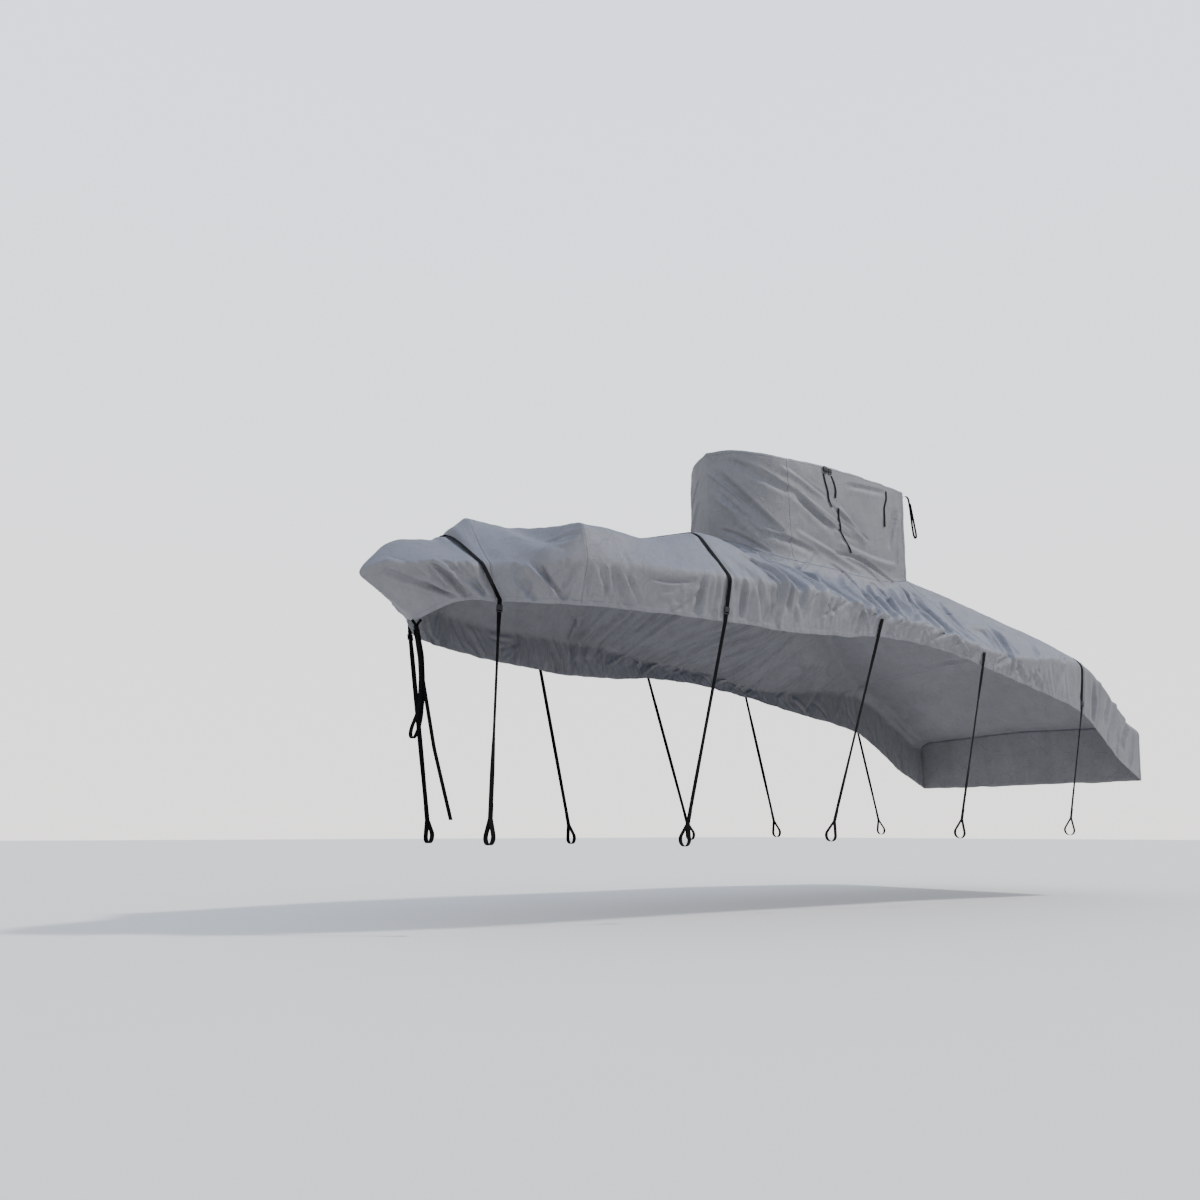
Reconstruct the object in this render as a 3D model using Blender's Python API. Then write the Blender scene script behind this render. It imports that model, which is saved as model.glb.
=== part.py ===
import math

import bmesh
import bpy
import numpy as np
from mathutils import Matrix, Vector
from mathutils.bvhtree import BVHTree
from mathutils.kdtree import KDTree

# Sizes in metres. "aft" is the distance behind the bow tip, "half" the distance from the
# centre plane and "up" the height above the ground under the trailer.
cloth_thickness = 0.003
seam_gap = 0.0008
corner_gap = 0.0036
origin_aft = 3.60
origin_up = 3.355

# Ribs of cloth from bow to stern. Each runs up from the hem over the rail at the gunwale and a
# shoulder to its top: the centre line ahead of the tower, the foot of the tower beside it, and
# a taut hip line behind it, where the crown is the height of the cloth on the centre line.
rib_columns = (
    "hem_aft", "hem_half", "hem_up",
    "rail_aft", "rail_half", "rail_up",
    "shoulder_aft", "shoulder_half", "shoulder_up",
    "top_aft", "top_half", "top_up", "crown_up", "sag",
)
rib_rows = (
    (0.385, 0.000, 1.765, 0.000, 0.000, 1.985, 0.030, 0.000, 2.050, 0.090, 0.000, 2.112, 2.112, 0.000),
    (0.390, 0.055, 1.768, 0.040, 0.090, 2.015, 0.100, 0.050, 2.105, 0.170, 0.000, 2.205, 2.205, 0.000),
    (0.410, 0.125, 1.785, 0.120, 0.190, 2.035, 0.190, 0.100, 2.145, 0.270, 0.000, 2.262, 2.262, 0.000),
    (0.455, 0.240, 1.817, 0.260, 0.320, 2.036, 0.320, 0.180, 2.150, 0.390, 0.000, 2.286, 2.286, 0.000),
    (0.520, 0.380, 1.832, 0.430, 0.430, 2.036, 0.480, 0.250, 2.155, 0.510, 0.000, 2.322, 2.322, 0.000),
    (0.620, 0.530, 1.810, 0.600, 0.480, 2.040, 0.630, 0.330, 2.160, 0.692, 0.000, 2.494, 2.494, 0.000),
    (0.710, 0.650, 1.798, 0.730, 0.640, 2.030, 0.740, 0.550, 2.105, 0.800, 0.000, 2.482, 2.482, 0.005),
    (0.805, 0.725, 1.793, 0.815, 0.765, 2.030, 0.815, 0.720, 2.115, 0.895, 0.000, 2.476, 2.476, 0.015),
    (0.900, 0.782, 1.789, 0.905, 0.840, 2.030, 0.905, 0.795, 2.150, 0.980, 0.000, 2.468, 2.468, 0.030),
    (1.000, 0.825, 1.786, 1.000, 0.893, 2.030, 1.000, 0.845, 2.286, 1.040, 0.000, 2.462, 2.462, 0.022),
    (1.200, 0.910, 1.778, 1.200, 0.965, 2.030, 1.200, 0.840, 2.288, 1.230, 0.000, 2.445, 2.445, 0.015),
    (1.510, 1.010, 1.767, 1.510, 1.065, 2.030, 1.510, 0.845, 2.272, 1.530, 0.000, 2.462, 2.462, 0.015),
    (1.750, 1.065, 1.763, 1.750, 1.120, 2.030, 1.750, 0.850, 2.338, 1.760, 0.000, 2.500, 2.500, 0.010),
    (1.950, 1.098, 1.760, 1.950, 1.152, 2.030, 1.950, 0.850, 2.388, 1.960, 0.000, 2.530, 2.530, 0.004),
    (2.120, 1.120, 1.752, 2.120, 1.175, 2.030, 2.100, 0.880, 2.360, 2.150, 0.000, 2.560, 2.560, 0.012),
    (2.280, 1.140, 1.744, 2.280, 1.193, 2.030, 2.260, 0.940, 2.280, 2.350, 0.000, 2.595, 2.595, 0.030),
    (2.450, 1.153, 1.748, 2.450, 1.210, 2.030, 2.440, 0.880, 2.260, 2.570, 0.000, 2.640, 2.640, 0.030),
    (2.700, 1.170, 1.760, 2.700, 1.226, 2.030, 2.710, 0.800, 2.290, 2.810, 0.000, 2.700, 2.700, 0.020),
    (2.880, 1.180, 1.768, 2.880, 1.235, 2.010, 2.890, 0.820, 2.270, 2.860, 0.200, 2.620, 2.620, 0.020),
    (3.030, 1.186, 1.788, 3.030, 1.240, 1.985, 3.030, 0.860, 2.235, 2.970, 0.370, 2.520, 2.520, 0.020),
    (3.220, 1.191, 1.805, 3.220, 1.245, 1.960, 3.210, 0.880, 2.205, 3.180, 0.490, 2.465, 2.465, 0.020),
    (3.520, 1.195, 1.810, 3.520, 1.250, 1.945, 3.510, 0.880, 2.195, 3.500, 0.520, 2.460, 2.460, 0.030),
    (3.850, 1.198, 1.795, 3.850, 1.250, 1.930, 3.850, 0.880, 2.180, 3.850, 0.525, 2.450, 2.450, 0.030),
    (4.200, 1.196, 1.758, 4.200, 1.248, 1.880, 4.200, 0.875, 2.165, 4.200, 0.525, 2.460, 2.460, 0.025),
    (4.550, 1.190, 1.708, 4.550, 1.242, 1.830, 4.540, 0.870, 2.180, 4.530, 0.510, 2.530, 2.575, 0.010),
    (4.900, 1.183, 1.655, 4.900, 1.236, 1.830, 4.895, 0.955, 2.112, 4.890, 0.690, 2.392, 2.470, 0.012),
    (5.250, 1.172, 1.604, 5.250, 1.225, 1.865, 5.245, 1.035, 2.060, 5.240, 0.855, 2.244, 2.350, 0.010),
    (5.600, 1.158, 1.552, 5.600, 1.208, 1.885, 5.595, 1.120, 1.995, 5.590, 1.020, 2.090, 2.200, 0.008),
    (5.930, 1.146, 1.480, 5.930, 1.192, 1.865, 5.925, 1.160, 1.918, 5.920, 1.110, 1.955, 2.045, 0.000),
    (6.180, 1.134, 1.340, 6.180, 1.175, 1.780, 6.180, 1.140, 1.828, 6.180, 1.080, 1.862, 1.938, 0.000),
    (6.480, 1.120, 1.145, 6.480, 1.155, 1.600, 6.480, 1.120, 1.640, 6.480, 1.060, 1.668, 1.735, 0.006),
    (6.740, 1.110, 1.030, 6.740, 1.140, 1.436, 6.740, 1.100, 1.474, 6.740, 1.040, 1.498, 1.546, 0.006),
    (6.880, 1.108, 0.966, 6.905, 1.132, 1.372, 6.905, 1.100, 1.418, 6.900, 1.040, 1.442, 1.478, 0.004),
)
seam_bow = 5
seam_fore = 9
tower_front = 17
tower_seam = 20
tower_rear = 24
stern_seam = 28
transom_rib = 32

# Top edge of the tower at each rib beside it.
rim_rows = (
    (2.800, 0.000, 3.390),
    (2.860, 0.210, 3.370),
    (2.985, 0.370, 3.335),
    (3.190, 0.465, 3.310),
    (3.500, 0.490, 3.325),
    (3.850, 0.500, 3.335),
    (4.200, 0.500, 3.335),
    (4.580, 0.500, 3.320),
)
tower_crown = 0.03
transom_hem_aft = 6.915
transom_hem_up = 0.962

# Rounding each way where a rib bends, and the number of cells between its knots.
rail_round = 0.045
shoulder_round = 0.07
ridge_round = 0.12
foot_round = 0.12
hip_round = 0.06
rim_round = 0.04
skirt_cells = 3
flank_cells = 4
roof_cells = 6
wall_cells = 7
crown_cells = 4
half_deck = (skirt_cells, flank_cells, roof_cells)
half_aft = half_deck + (crown_cells,)
half_tower = half_deck + (wall_cells, crown_cells)
deck_rows = skirt_cells + flank_cells + roof_cells
wall_rows = deck_rows + wall_cells

# Columns of cells along each panel.
bow_columns = 9
fore_columns = 6
mid_columns = 15
front_columns = 11
side_columns = 24
aft_columns = 12
stern_columns = 9
seam_fade = 1.5
transom_ease = 8
cloth_inside = (3.5, 0.0, 1.6)
weld_distance = 2e-5

# Main folds: a soft ridge, or a trough where the height is negative, from start past bend to end.
fold_columns = (
    "start_rib", "start_knot", "bend_rib", "bend_knot", "end_rib", "end_knot", "width", "height",
)
fold_rows = (
    (1.10, 0.95, 2.40, 0.70, 4.00, 0.10, 0.045, -0.014),
    (2.60, 0.95, 3.10, 0.60, 3.80, 0.05, 0.040, 0.012),
    (3.30, 0.95, 3.65, 0.53, 4.25, 0.05, 0.035, -0.014),
    (3.70, 0.98, 4.05, 0.55, 4.60, 0.05, 0.035, 0.012),
    (5.60, 0.95, 6.20, 0.45, 6.60, 0.05, 0.035, -0.010),
    (6.05, 0.95, 6.90, 0.50, 7.70, 0.05, 0.040, 0.012),
    (8.45, 0.90, 8.20, 0.53, 8.00, 0.10, 0.040, -0.012),
    (9.05, 0.95, 9.30, 0.50, 9.45, 0.05, 0.045, -0.014),
    (9.60, 0.95, 9.90, 0.50, 10.20, 0.10, 0.045, 0.012),
    (11.80, 0.92, 11.75, 0.45, 11.70, 0.03, 0.050, -0.012),
    (15.30, 2.40, 15.20, 1.40, 15.05, 0.40, 0.075, 0.022),
    (16.60, 2.60, 16.20, 1.50, 15.90, 0.60, 0.070, -0.026),
    (18.00, 2.90, 17.20, 1.80, 16.70, 0.50, 0.060, 0.020),
    (19.90, 2.90, 18.80, 1.90, 17.90, 0.60, 0.060, -0.022),
    (21.50, 2.90, 20.20, 1.90, 18.90, 0.40, 0.055, 0.020),
    (22.20, 2.90, 21.20, 1.90, 20.20, 0.80, 0.055, -0.022),
    (23.10, 2.80, 22.20, 1.90, 21.10, 0.70, 0.060, 0.022),
    (23.50, 2.60, 23.10, 1.80, 21.95, 0.58, 0.055, -0.020),
    (24.30, 2.40, 23.60, 1.40, 22.90, 0.40, 0.060, 0.018),
    (25.20, 2.10, 25.00, 1.30, 24.10, 0.50, 0.060, -0.016),
    (26.30, 1.80, 26.00, 1.00, 25.20, 0.15, 0.055, 0.012),
    (28.75, 0.90, 28.70, 0.50, 28.55, 0.05, 0.050, -0.014),
    (29.90, 0.90, 29.60, 0.55, 29.30, 0.10, 0.055, 0.014),
    (31.00, 1.20, 30.60, 0.80, 30.20, 0.15, 0.060, -0.012),
    (17.40, 3.75, 18.60, 3.45, 19.75, 3.25, 0.060, -0.012),
    (17.80, 3.88, 19.40, 3.72, 21.45, 3.38, 0.055, -0.012),
    (19.80, 3.88, 20.50, 3.72, 22.50, 3.35, 0.050, 0.012),
    (22.90, 3.90, 23.50, 3.60, 23.35, 3.30, 0.060, -0.014),
)
starboard_shift = 0.55
starboard_share = 0.8
fold_steps = 12

# Straps that pass over the cover: how far aft they lie at the crest, the rail, the hem and the
# trailer frame, where each end meets the frame, and the height of the buckles.
over_columns = (
    "name", "crest_aft", "rail_aft", "hem_aft", "frame_aft", "starboard_shift",
    "frame_up", "port_half", "starboard_half", "buckle_up",
)
over_rows = (
    ("bow", 0.545, 0.556, 0.624, 0.575, 0.00, 0.600, 0.590, 0.120, 1.765),
    ("mid", 1.940, 1.885, 1.880, 1.880, 0.15, 0.580, 0.720, 0.720, 1.824),
    ("stern", 5.900, 5.900, 5.900, 5.900, 0.00, 0.640, 0.960, 0.960, 1.560),
)
# Straps sewn to the skirt beside the helm.
sewn_columns = ("name", "aft", "top_up", "frame_half", "frame_up")
sewn_rows = (
    ("fore", 3.200, 1.920, 0.740, 0.600),
    ("aft", 4.400, 1.820, 0.930, 0.620),
)
strap_width = 0.030
strap_thickness = 0.002
strap_clearance = 0.0005
hull_error = 0.0003
sewn_clearance = 0.0005
sewn_reach = 0.20
loop_round = 0.040
loop_reach = 0.100
loop_lap = 0.075
loop_gap = 0.0007
loop_turns = 11
buckle_length = 0.045
buckle_wall = 0.004
buckle_bevel = 0.0015
tie_width = 0.018
tie_thickness = 0.0018
tie_steps = 3
tie_lift = 0.0012
tie_clearance = 0.0004

# Ties on the tower walls: points are aft and up, from the sewn end to the free end.
tie_rows = (
    ("long", ((3.575, 3.250), (3.585, 3.180), (3.610, 3.110), (3.615, 3.040), (3.640, 2.985))),
    ("short", ((3.665, 3.250), (3.690, 3.200), (3.700, 3.130), (3.690, 3.070))),
    ("rear", ((4.350, 3.265), (4.340, 3.190), (4.300, 3.110), (4.290, 3.020), (4.282, 2.945))),
    ("wall", ((3.714, 2.990), (3.718, 2.900), (3.722, 2.790), (3.770, 2.740), (3.816, 2.640))),
)
tower_buckle_place = (3.620, 3.285)
tower_buckle_size = (0.105, 0.010, 0.060)
tower_buckle_bevel = 0.003

steel_grey = (0.23, 0.245, 0.27)
web_black = (0.012, 0.012, 0.013)

# Rays that find the outside of the cloth: from far out towards a line inside it, at a number of
# places across each strap, in degrees up from port to starboard.
ray_far = 4.0
ray_middle_up = 1.75
ray_degrees = (-25, 205, 0.1)
rail_degrees = 32
hem_degrees = 7
frame_degrees = -20
strap_edge = 0.52
strap_rays = 9
tie_edge = 0.55
tie_rays = 5
tie_rise = 0.004
loop_rise = 0.010
sewn_rays = 41

bow_knot_size = (0.062, 0.056, 0.056)
bow_knot_gap = 0.0021
bow_knot_seat = (0.004, 0.0003)
bow_knot_ridge = 0.0022
bow_web_half = 0.014
bow_web_width = 0.024
bow_loop_route = (
    (0.402, 1.655), (0.428, 1.550), (0.440, 1.420), (0.443, 1.290), (0.437, 1.180),
    (0.427, 1.125), (0.408, 1.075), (0.392, 1.052), (0.378, 1.060), (0.372, 1.085),
    (0.382, 1.130), (0.403, 1.180), (0.418, 1.225), (0.425, 1.290), (0.424, 1.420),
    (0.412, 1.540), (0.386, 1.665),
)
bow_line_route = ((0.402, 1.6520), (0.452, 1.420), (0.545, 1.010), (0.672, 0.597))
corner_loop_half = 0.470
corner_loop_far = 6.0
corner_loop_seat = (3.190, 3.210, 3.230, 3.250)
corner_loop_route = (
    (4.625, 3.285), (4.670, 3.300), (4.698, 3.280), (4.712, 3.180), (4.722, 3.050),
    (4.735, 2.965), (4.752, 2.935), (4.768, 2.940), (4.772, 2.975), (4.755, 3.060), (4.730, 3.180),
    (4.716, 3.240),
)


def spline(rows, place):
    """Smooth value of a table at a fractional row."""
    last = len(rows) - 1
    low = min(int(math.floor(place)), last - 1)
    part = place - low
    a, b = rows[low], rows[low + 1]
    before = rows[low - 1] if low > 0 else 2 * a - b
    after = rows[low + 2] if low + 2 <= last else 2 * b - a
    return 0.5 * (
        2 * a
        + (b - before) * part
        + (2 * before - 5 * a + 4 * b - after) * part**2
        + (3 * a - before - 3 * b + after) * part**3
    )


def rib_knots(rib):
    """Hem, rail, shoulder, top and crown of a port rib, and its sag; the table kinks at seams."""
    starts = (0, seam_bow, seam_fore, tower_front, tower_rear, stern_seam, transom_rib)
    table = np.array(rib_rows)
    for start, end in zip(starts, starts[1:]):
        if rib <= end + 1e-9:
            row = dict(zip(rib_columns, spline(table[start:end + 1], rib - start)))
            break
    knots = [
        (row[name + "_aft"], -row[name + "_half"], row[name + "_up"])
        for name in ("hem", "rail", "shoulder", "top")
    ]
    return np.array(knots + [(row["top_aft"], 0.0, row["crown_up"])]), row["sag"]


def mirrored(points):
    return np.asarray(points) * (1, -1, 1)


def soft(distance, width):
    """Zero below nothing and the distance above it, with the corner rounded over the width."""
    if width < 1e-6:
        return np.maximum(distance, 0.0)
    middle = (distance + width)**2 / (4 * width)
    return np.where(distance < -width, 0.0, np.where(distance > width, distance, middle))


def bend(knots, rounds, samples):
    """Points of a line through knots whose corners are rounded; samples count in knots."""
    steps = np.diff(knots, axis=0)
    lengths = np.maximum(np.linalg.norm(steps, axis=1), 1e-9)
    reach = np.concatenate(([0.0], np.cumsum(lengths)))
    place = np.interp(samples, np.arange(len(knots)), reach)
    points = np.tile(knots[0], (len(samples), 1))
    for index, (step, length) in enumerate(zip(steps, lengths)):
        before = lengths[max(index - 1, 0)]
        after = lengths[min(index + 1, len(lengths) - 1)]
        near = min(rounds[index], 0.45 * min(length, before))
        far = min(rounds[index + 1], 0.45 * min(length, after))
        ramp = soft(place - reach[index], near) - soft(place - reach[index + 1], far)
        points += np.outer(ramp, step / length)
    return points


def fade(rib, *ends):
    """Share of a rounding that is left at a rib, none at the given ribs."""
    return min(1.0, min(abs(rib - end) for end in ends) / seam_fade)


def cells(*counts):
    """Samples in knots, from knot 0, with a number of cells for each span."""
    parts = [np.linspace(index, index + 1, count + 1)[:-1] for index, count in enumerate(counts)]
    return np.append(np.concatenate(parts), len(counts))


def deck_line(rib, samples):
    """Points of a full rib from the port hem, knot 0, to the starboard hem."""
    knots, sag = rib_knots(rib)
    rounds = [0, rail_round, shoulder_round]
    if rib <= tower_front:
        half = knots[:4]
        middle = [ridge_round * fade(rib, 0, tower_front)]
    else:
        half = knots
        rounds = rounds + [hip_round * fade(rib, tower_rear)]
        middle = [ridge_round]
    whole = np.concatenate((half, mirrored(half[-2::-1])))
    points = bend(whole, rounds + middle + rounds[::-1], samples)
    near = np.minimum(samples, len(whole) - 1 - samples)
    part = np.clip(near - 2, 0, 1)
    points[:, 2] -= sag * 4 * part * (1 - part)
    return points


def tower_line(rib, samples):
    """Points of a port rib beside the tower: hem, rail, shoulder, foot, rim and mid-top."""
    knots, sag = rib_knots(rib)
    aft, half, up = spline(np.array(rim_rows), rib - tower_front)
    crown = tower_crown * half / max(row[1] for row in rim_rows)
    knots = np.concatenate((knots[:4], [(aft, -half, up), (aft, 0.0, up + crown)]))
    foot = foot_round * fade(rib, tower_front, tower_rear)
    points = bend(knots, [0, rail_round, shoulder_round, foot, rim_round, 0], samples)
    part = np.clip(samples - 2, 0, 1)
    points[:, 2] -= sag * 4 * part * (1 - part)
    return points


def surface_points(ribs, knots, side):
    """Points of the smooth cloth at pairs of rib and knot."""
    points = []
    for rib, knot in zip(ribs, knots):
        line = tower_line if tower_front < rib < tower_rear else deck_line
        points.append(line(rib, np.array([knot]))[0])
    return np.array(points) if side < 0 else mirrored(points)


def arch(rib):
    counts = half_deck if rib <= tower_front else half_aft
    return deck_line(rib, cells(*counts, *counts[::-1]))


def flank(rib, side):
    points = tower_line(rib, cells(*half_tower))
    return points if side < 0 else mirrored(points)


def ribs_between(start, end, count):
    return np.linspace(start, end, count + 1)


def bow_grid():
    """Half ribs fanned round the stem from the port end of the bow seam to the starboard end."""
    ribs = ribs_between(0, seam_bow, bow_columns)
    port = [arch(rib)[:deck_rows + 1] for rib in ribs[::-1]]
    starboard = [mirrored(points) for points in port[-2::-1]]
    return np.array(port + starboard)


def deck_grid(start, end, count):
    return np.array([arch(rib) for rib in ribs_between(start, end, count)])


def flank_grid(start, end, count, low, high, side):
    return np.array([flank(rib, side)[low:high + 1] for rib in ribs_between(start, end, count)])


def patch_grid(left, right, low, high):
    """Rows filled in between four edges that share their corners."""
    left, right, low, high = (np.asarray(edge) for edge in (left, right, low, high))
    across = np.linspace(0, 1, len(low))[:, None, None]
    along = np.linspace(0, 1, len(left))[None, :, None]
    blend = (1 - across) * left[None] + across * right[None]
    blend = blend + (1 - along) * low[:, None] + along * high[:, None]
    corners = (1 - across) * (1 - along) * left[0] + (1 - across) * along * left[-1]
    corners = corners + across * (1 - along) * right[0] + across * along * right[-1]
    return blend - corners


def panel_grids():
    """Every panel of cloth as a grid of points, wound so that its faces point out."""
    grids = {
        "bow_cap": bow_grid(),
        "fore_deck": deck_grid(seam_bow, seam_fore, fore_columns),
        "mid_deck": deck_grid(seam_fore, tower_front, mid_columns),
        "aft_deck": deck_grid(tower_rear, stern_seam, aft_columns),
        "stern_drop": deck_grid(stern_seam, transom_rib, stern_columns),
    }
    for name, side in (("port", -1), ("starboard", 1)):
        whole = flank_grid(tower_front, tower_seam, front_columns, 0, deck_rows, side)
        rest = flank_grid(tower_seam, tower_rear, side_columns - front_columns, 0, deck_rows, side)
        grids["side_" + name] = np.concatenate((whole, rest[1:]))
        grids["tower_" + name] = flank_grid(
            tower_seam, tower_rear, side_columns - front_columns, deck_rows, wall_rows, side
        )
    port = flank_grid(tower_front, tower_seam, front_columns, deck_rows, wall_rows, -1)
    grids["tower_front"] = np.concatenate((port[::-1], mirrored(port[1:])))
    tops = []
    for rib in np.concatenate((
        ribs_between(tower_front, tower_seam, front_columns),
        ribs_between(tower_seam, tower_rear, side_columns - front_columns)[1:],
    )):
        half_row = flank(rib, -1)[wall_rows:]
        tops.append(np.concatenate((half_row, mirrored(half_row[-2::-1]))))
    grids["tower_top"] = np.array(tops)
    foot = arch(tower_rear)[deck_rows:-deck_rows]
    wall = flank(tower_rear, -1)[deck_rows:wall_rows + 1]
    grids["tower_rear"] = patch_grid(wall, mirrored(wall), foot, tops[-1])
    rim = arch(transom_rib)
    side = rim[:skirt_cells + 1]
    over = rim[skirt_cells:-skirt_cells]
    ends = np.array((side[0], mirrored(side[0])))
    share = np.linspace(0, 1, len(over))[:, None]
    low = (1 - share) * ends[0] + share * ends[1]
    bulge = np.clip(np.minimum(share, 1 - share) * transom_ease, 0, 1)
    low = low + bulge * (transom_hem_aft - ends[0][0], 0, transom_hem_up - ends[0][2])
    grids["transom"] = patch_grid(side, mirrored(side), low, over)
    return grids


def fold_lines():
    """Each fold on each side as a line of points, its width and its height."""
    lines = []
    for values in fold_rows:
        fold = dict(zip(fold_columns, values))
        share = np.linspace(0, 1, fold_steps + 1)
        start, middle, end = (1 - share)**2, 2 * share * (1 - share), share**2
        knots = start * fold["start_knot"] + middle * fold["bend_knot"] + end * fold["end_knot"]
        ribs = start * fold["start_rib"] + middle * fold["bend_rib"] + end * fold["end_rib"]
        lines.append((surface_points(ribs, knots, -1), fold["width"], fold["height"]))
        moved = np.minimum(ribs + starboard_shift, transom_rib)
        height = fold["height"] * starboard_share
        lines.append((surface_points(moved, knots, 1), fold["width"], height))
    return lines


def fold_height(points, line, width, height):
    """Height that one fold gives each point, fading to a third at its ends."""
    starts, steps = line[:-1], np.diff(line, axis=0)
    away = points[:, None] - starts[None]
    length = np.maximum((steps**2).sum(axis=1), 1e-12)
    part = np.clip((away * steps).sum(axis=2) / length, 0, 1)
    distance = np.linalg.norm(away - part[..., None] * steps, axis=2)
    nearest = distance.argmin(axis=1)
    rows = np.arange(len(points))
    along = (nearest + part[rows, nearest]) / len(steps)
    ends = 0.3 + 0.7 * np.sin(np.pi * along)
    return height * ends * np.exp(-(distance[rows, nearest] / width)**2)


def weld(grids):
    """All points once, and for each panel its triangles wound to face out."""
    raw = np.concatenate([grid.reshape(-1, 3) for grid in grids.values()])
    tree = KDTree(len(raw))
    for index, point in enumerate(raw):
        tree.insert(point, index)
    tree.balance()
    first = np.array([min(hit[1] for hit in tree.find_range(point, weld_distance)) for point in raw])
    kept, merged = np.unique(first, return_inverse=True)
    points = raw[kept]
    panels, used = {}, 0
    for name, grid in grids.items():
        rows, columns = grid.shape[:2]
        index = merged[used:used + rows * columns].reshape(rows, columns)
        used += rows * columns
        triangles = []
        for row in range(rows - 1):
            for column in range(columns - 1):
                a, b = index[row, column], index[row + 1, column]
                d, c = index[row, column + 1], index[row + 1, column + 1]
                across = np.linalg.norm(points[a] - points[c])
                if across < np.linalg.norm(points[b] - points[d]):
                    halves = ((a, b, c), (a, c, d))
                else:
                    halves = ((a, b, d), (b, c, d))
                triangles += [half for half in halves if len(set(half)) == 3]
        triangles = np.array(triangles)
        corners = points[triangles]
        normals = np.cross(corners[:, 1] - corners[:, 0], corners[:, 2] - corners[:, 0])
        if (normals * (corners.mean(axis=1) - cloth_inside)).sum() < 0:
            triangles = triangles[:, ::-1]
        panels[name] = triangles
    return points, panels


def outward(points, panels):
    """Outward normal of the whole cloth at every point."""
    normals = np.zeros_like(points)
    for triangles in panels.values():
        corners = points[triangles]
        faces = np.cross(corners[:, 1] - corners[:, 0], corners[:, 2] - corners[:, 0])
        for corner in range(3):
            np.add.at(normals, triangles[:, corner], faces)
    return normals / np.linalg.norm(normals, axis=1)[:, None]


def new_material(name, colour, roughness):
    material = bpy.data.materials.new(name)
    material.use_nodes = True
    shader = material.node_tree.nodes["Principled BSDF"]
    shader.inputs["Base Color"].default_value = (*colour, 1)
    shader.inputs["Roughness"].default_value = roughness
    shader.inputs["Metallic"].default_value = 0.0
    material.diffuse_color = (*colour, 1)
    return material


def new_object(name, points, faces, material):
    """A named object under the row's frame, from points given in the boat's frame."""
    mesh = bpy.data.meshes.new(name)
    mesh.from_pydata([tuple(point) for point in points], [], [tuple(face) for face in faces])
    mesh.update()
    sheet = bmesh.new()
    sheet.from_mesh(mesh)
    bmesh.ops.recalc_face_normals(sheet, faces=sheet.faces)
    sheet.to_mesh(mesh)
    sheet.free()
    mesh.materials.append(material)
    piece = bpy.data.objects.new(name, mesh)
    bpy.context.collection.objects.link(piece)
    piece.parent = row_frame
    return piece


def panel_solid(name, points, normals, gaps, triangles, material):
    """One panel with its thickness, drawn back from its seams by half their gap."""
    used, local = np.unique(triangles, return_inverse=True)
    local = local.reshape(-1, 3)
    outer, out = points[used].copy(), normals[used]
    owner = {}
    for face in local:
        for a, b in zip(face, np.roll(face, -1)):
            owner[(int(a), int(b))] = True
    rim = [edge for edge in owner if edge[::-1] not in owner]
    inward = {}
    for a, b in rim:
        side = np.cross(out[a] + out[b], outer[b] - outer[a])
        side /= max(np.linalg.norm(side), 1e-12)
        inward.setdefault(a, []).append(side)
        inward.setdefault(b, []).append(side)
    for index, sides in inward.items():
        total = np.sum(sides, axis=0) * 2 / len(sides)
        turn = np.clip(np.dot(sides[0], sides[-1]), -0.6, 1.0)
        gap = corner_gap if turn < 0.9 else gaps[used[index]]
        outer[index] += 0.5 * gap * total / (1 + turn)
    inner = outer - out * cloth_thickness
    count = len(used)
    faces = [tuple(face) for face in local] + [tuple(face[::-1] + count) for face in local]
    for a, b in rim:
        faces += [(b, a, a + count), (b, a + count, b + count)]
    return new_object(name, np.concatenate((outer, inner)), faces, material)


def strip(name, path, across, width, thickness, material):
    """Flat webbing centred on a path, with its width along one fixed direction."""
    path = np.asarray(path, float)
    across = np.asarray(across, float) / np.linalg.norm(across)
    steps = np.diff(path, axis=0)
    steps /= np.linalg.norm(steps, axis=1)[:, None]
    before, after = np.vstack((steps[:1], steps)), np.vstack((steps, steps[-1:]))
    tangent = before + after
    tangent /= np.linalg.norm(tangent, axis=1)[:, None]
    stretch = 1 / np.maximum((tangent * after).sum(axis=1), 0.7)
    out = np.cross(tangent, across)
    out /= np.linalg.norm(out, axis=1)[:, None]
    side = across * width / 2
    thick = out * (stretch * thickness / 2)[:, None]
    corners = np.stack((path - side - thick, path + side - thick, path + side + thick, path - side + thick))
    points = corners.transpose(1, 0, 2).reshape(-1, 3)
    faces = [(0, 1, 2, 3)]
    for index in range(len(path) - 1):
        for corner in range(4):
            a, b = index * 4 + corner, index * 4 + (corner + 1) % 4
            faces.append((a, a + 4, b + 4, b))
    last = 4 * (len(path) - 1)
    faces.append((last + 3, last + 2, last + 1, last))
    return new_object(name, points, faces, material)


def outermost(tree, starts, direction):
    """Farthest out that a row of rays finds the cloth, as the hit point, or nothing."""
    hits = (tree.ray_cast(Vector(start), Vector(direction), ray_far)[0] for start in starts)
    out = -Vector(direction)
    return max((hit for hit in hits if hit is not None), key=out.dot, default=None)


def strap_aft(row, degrees):
    """How far aft an over strap lies, at an angle round its section from port."""
    degrees_at = (frame_degrees, hem_degrees, rail_degrees, 90)
    afts = [row[name] for name in ("frame_aft", "hem_aft", "rail_aft", "crest_aft")]
    shift = row["starboard_shift"] * np.interp(degrees, (90, 180 - rail_degrees), (0, 1))
    return np.interp(min(degrees, 180 - degrees), degrees_at, afts) + shift


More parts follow.
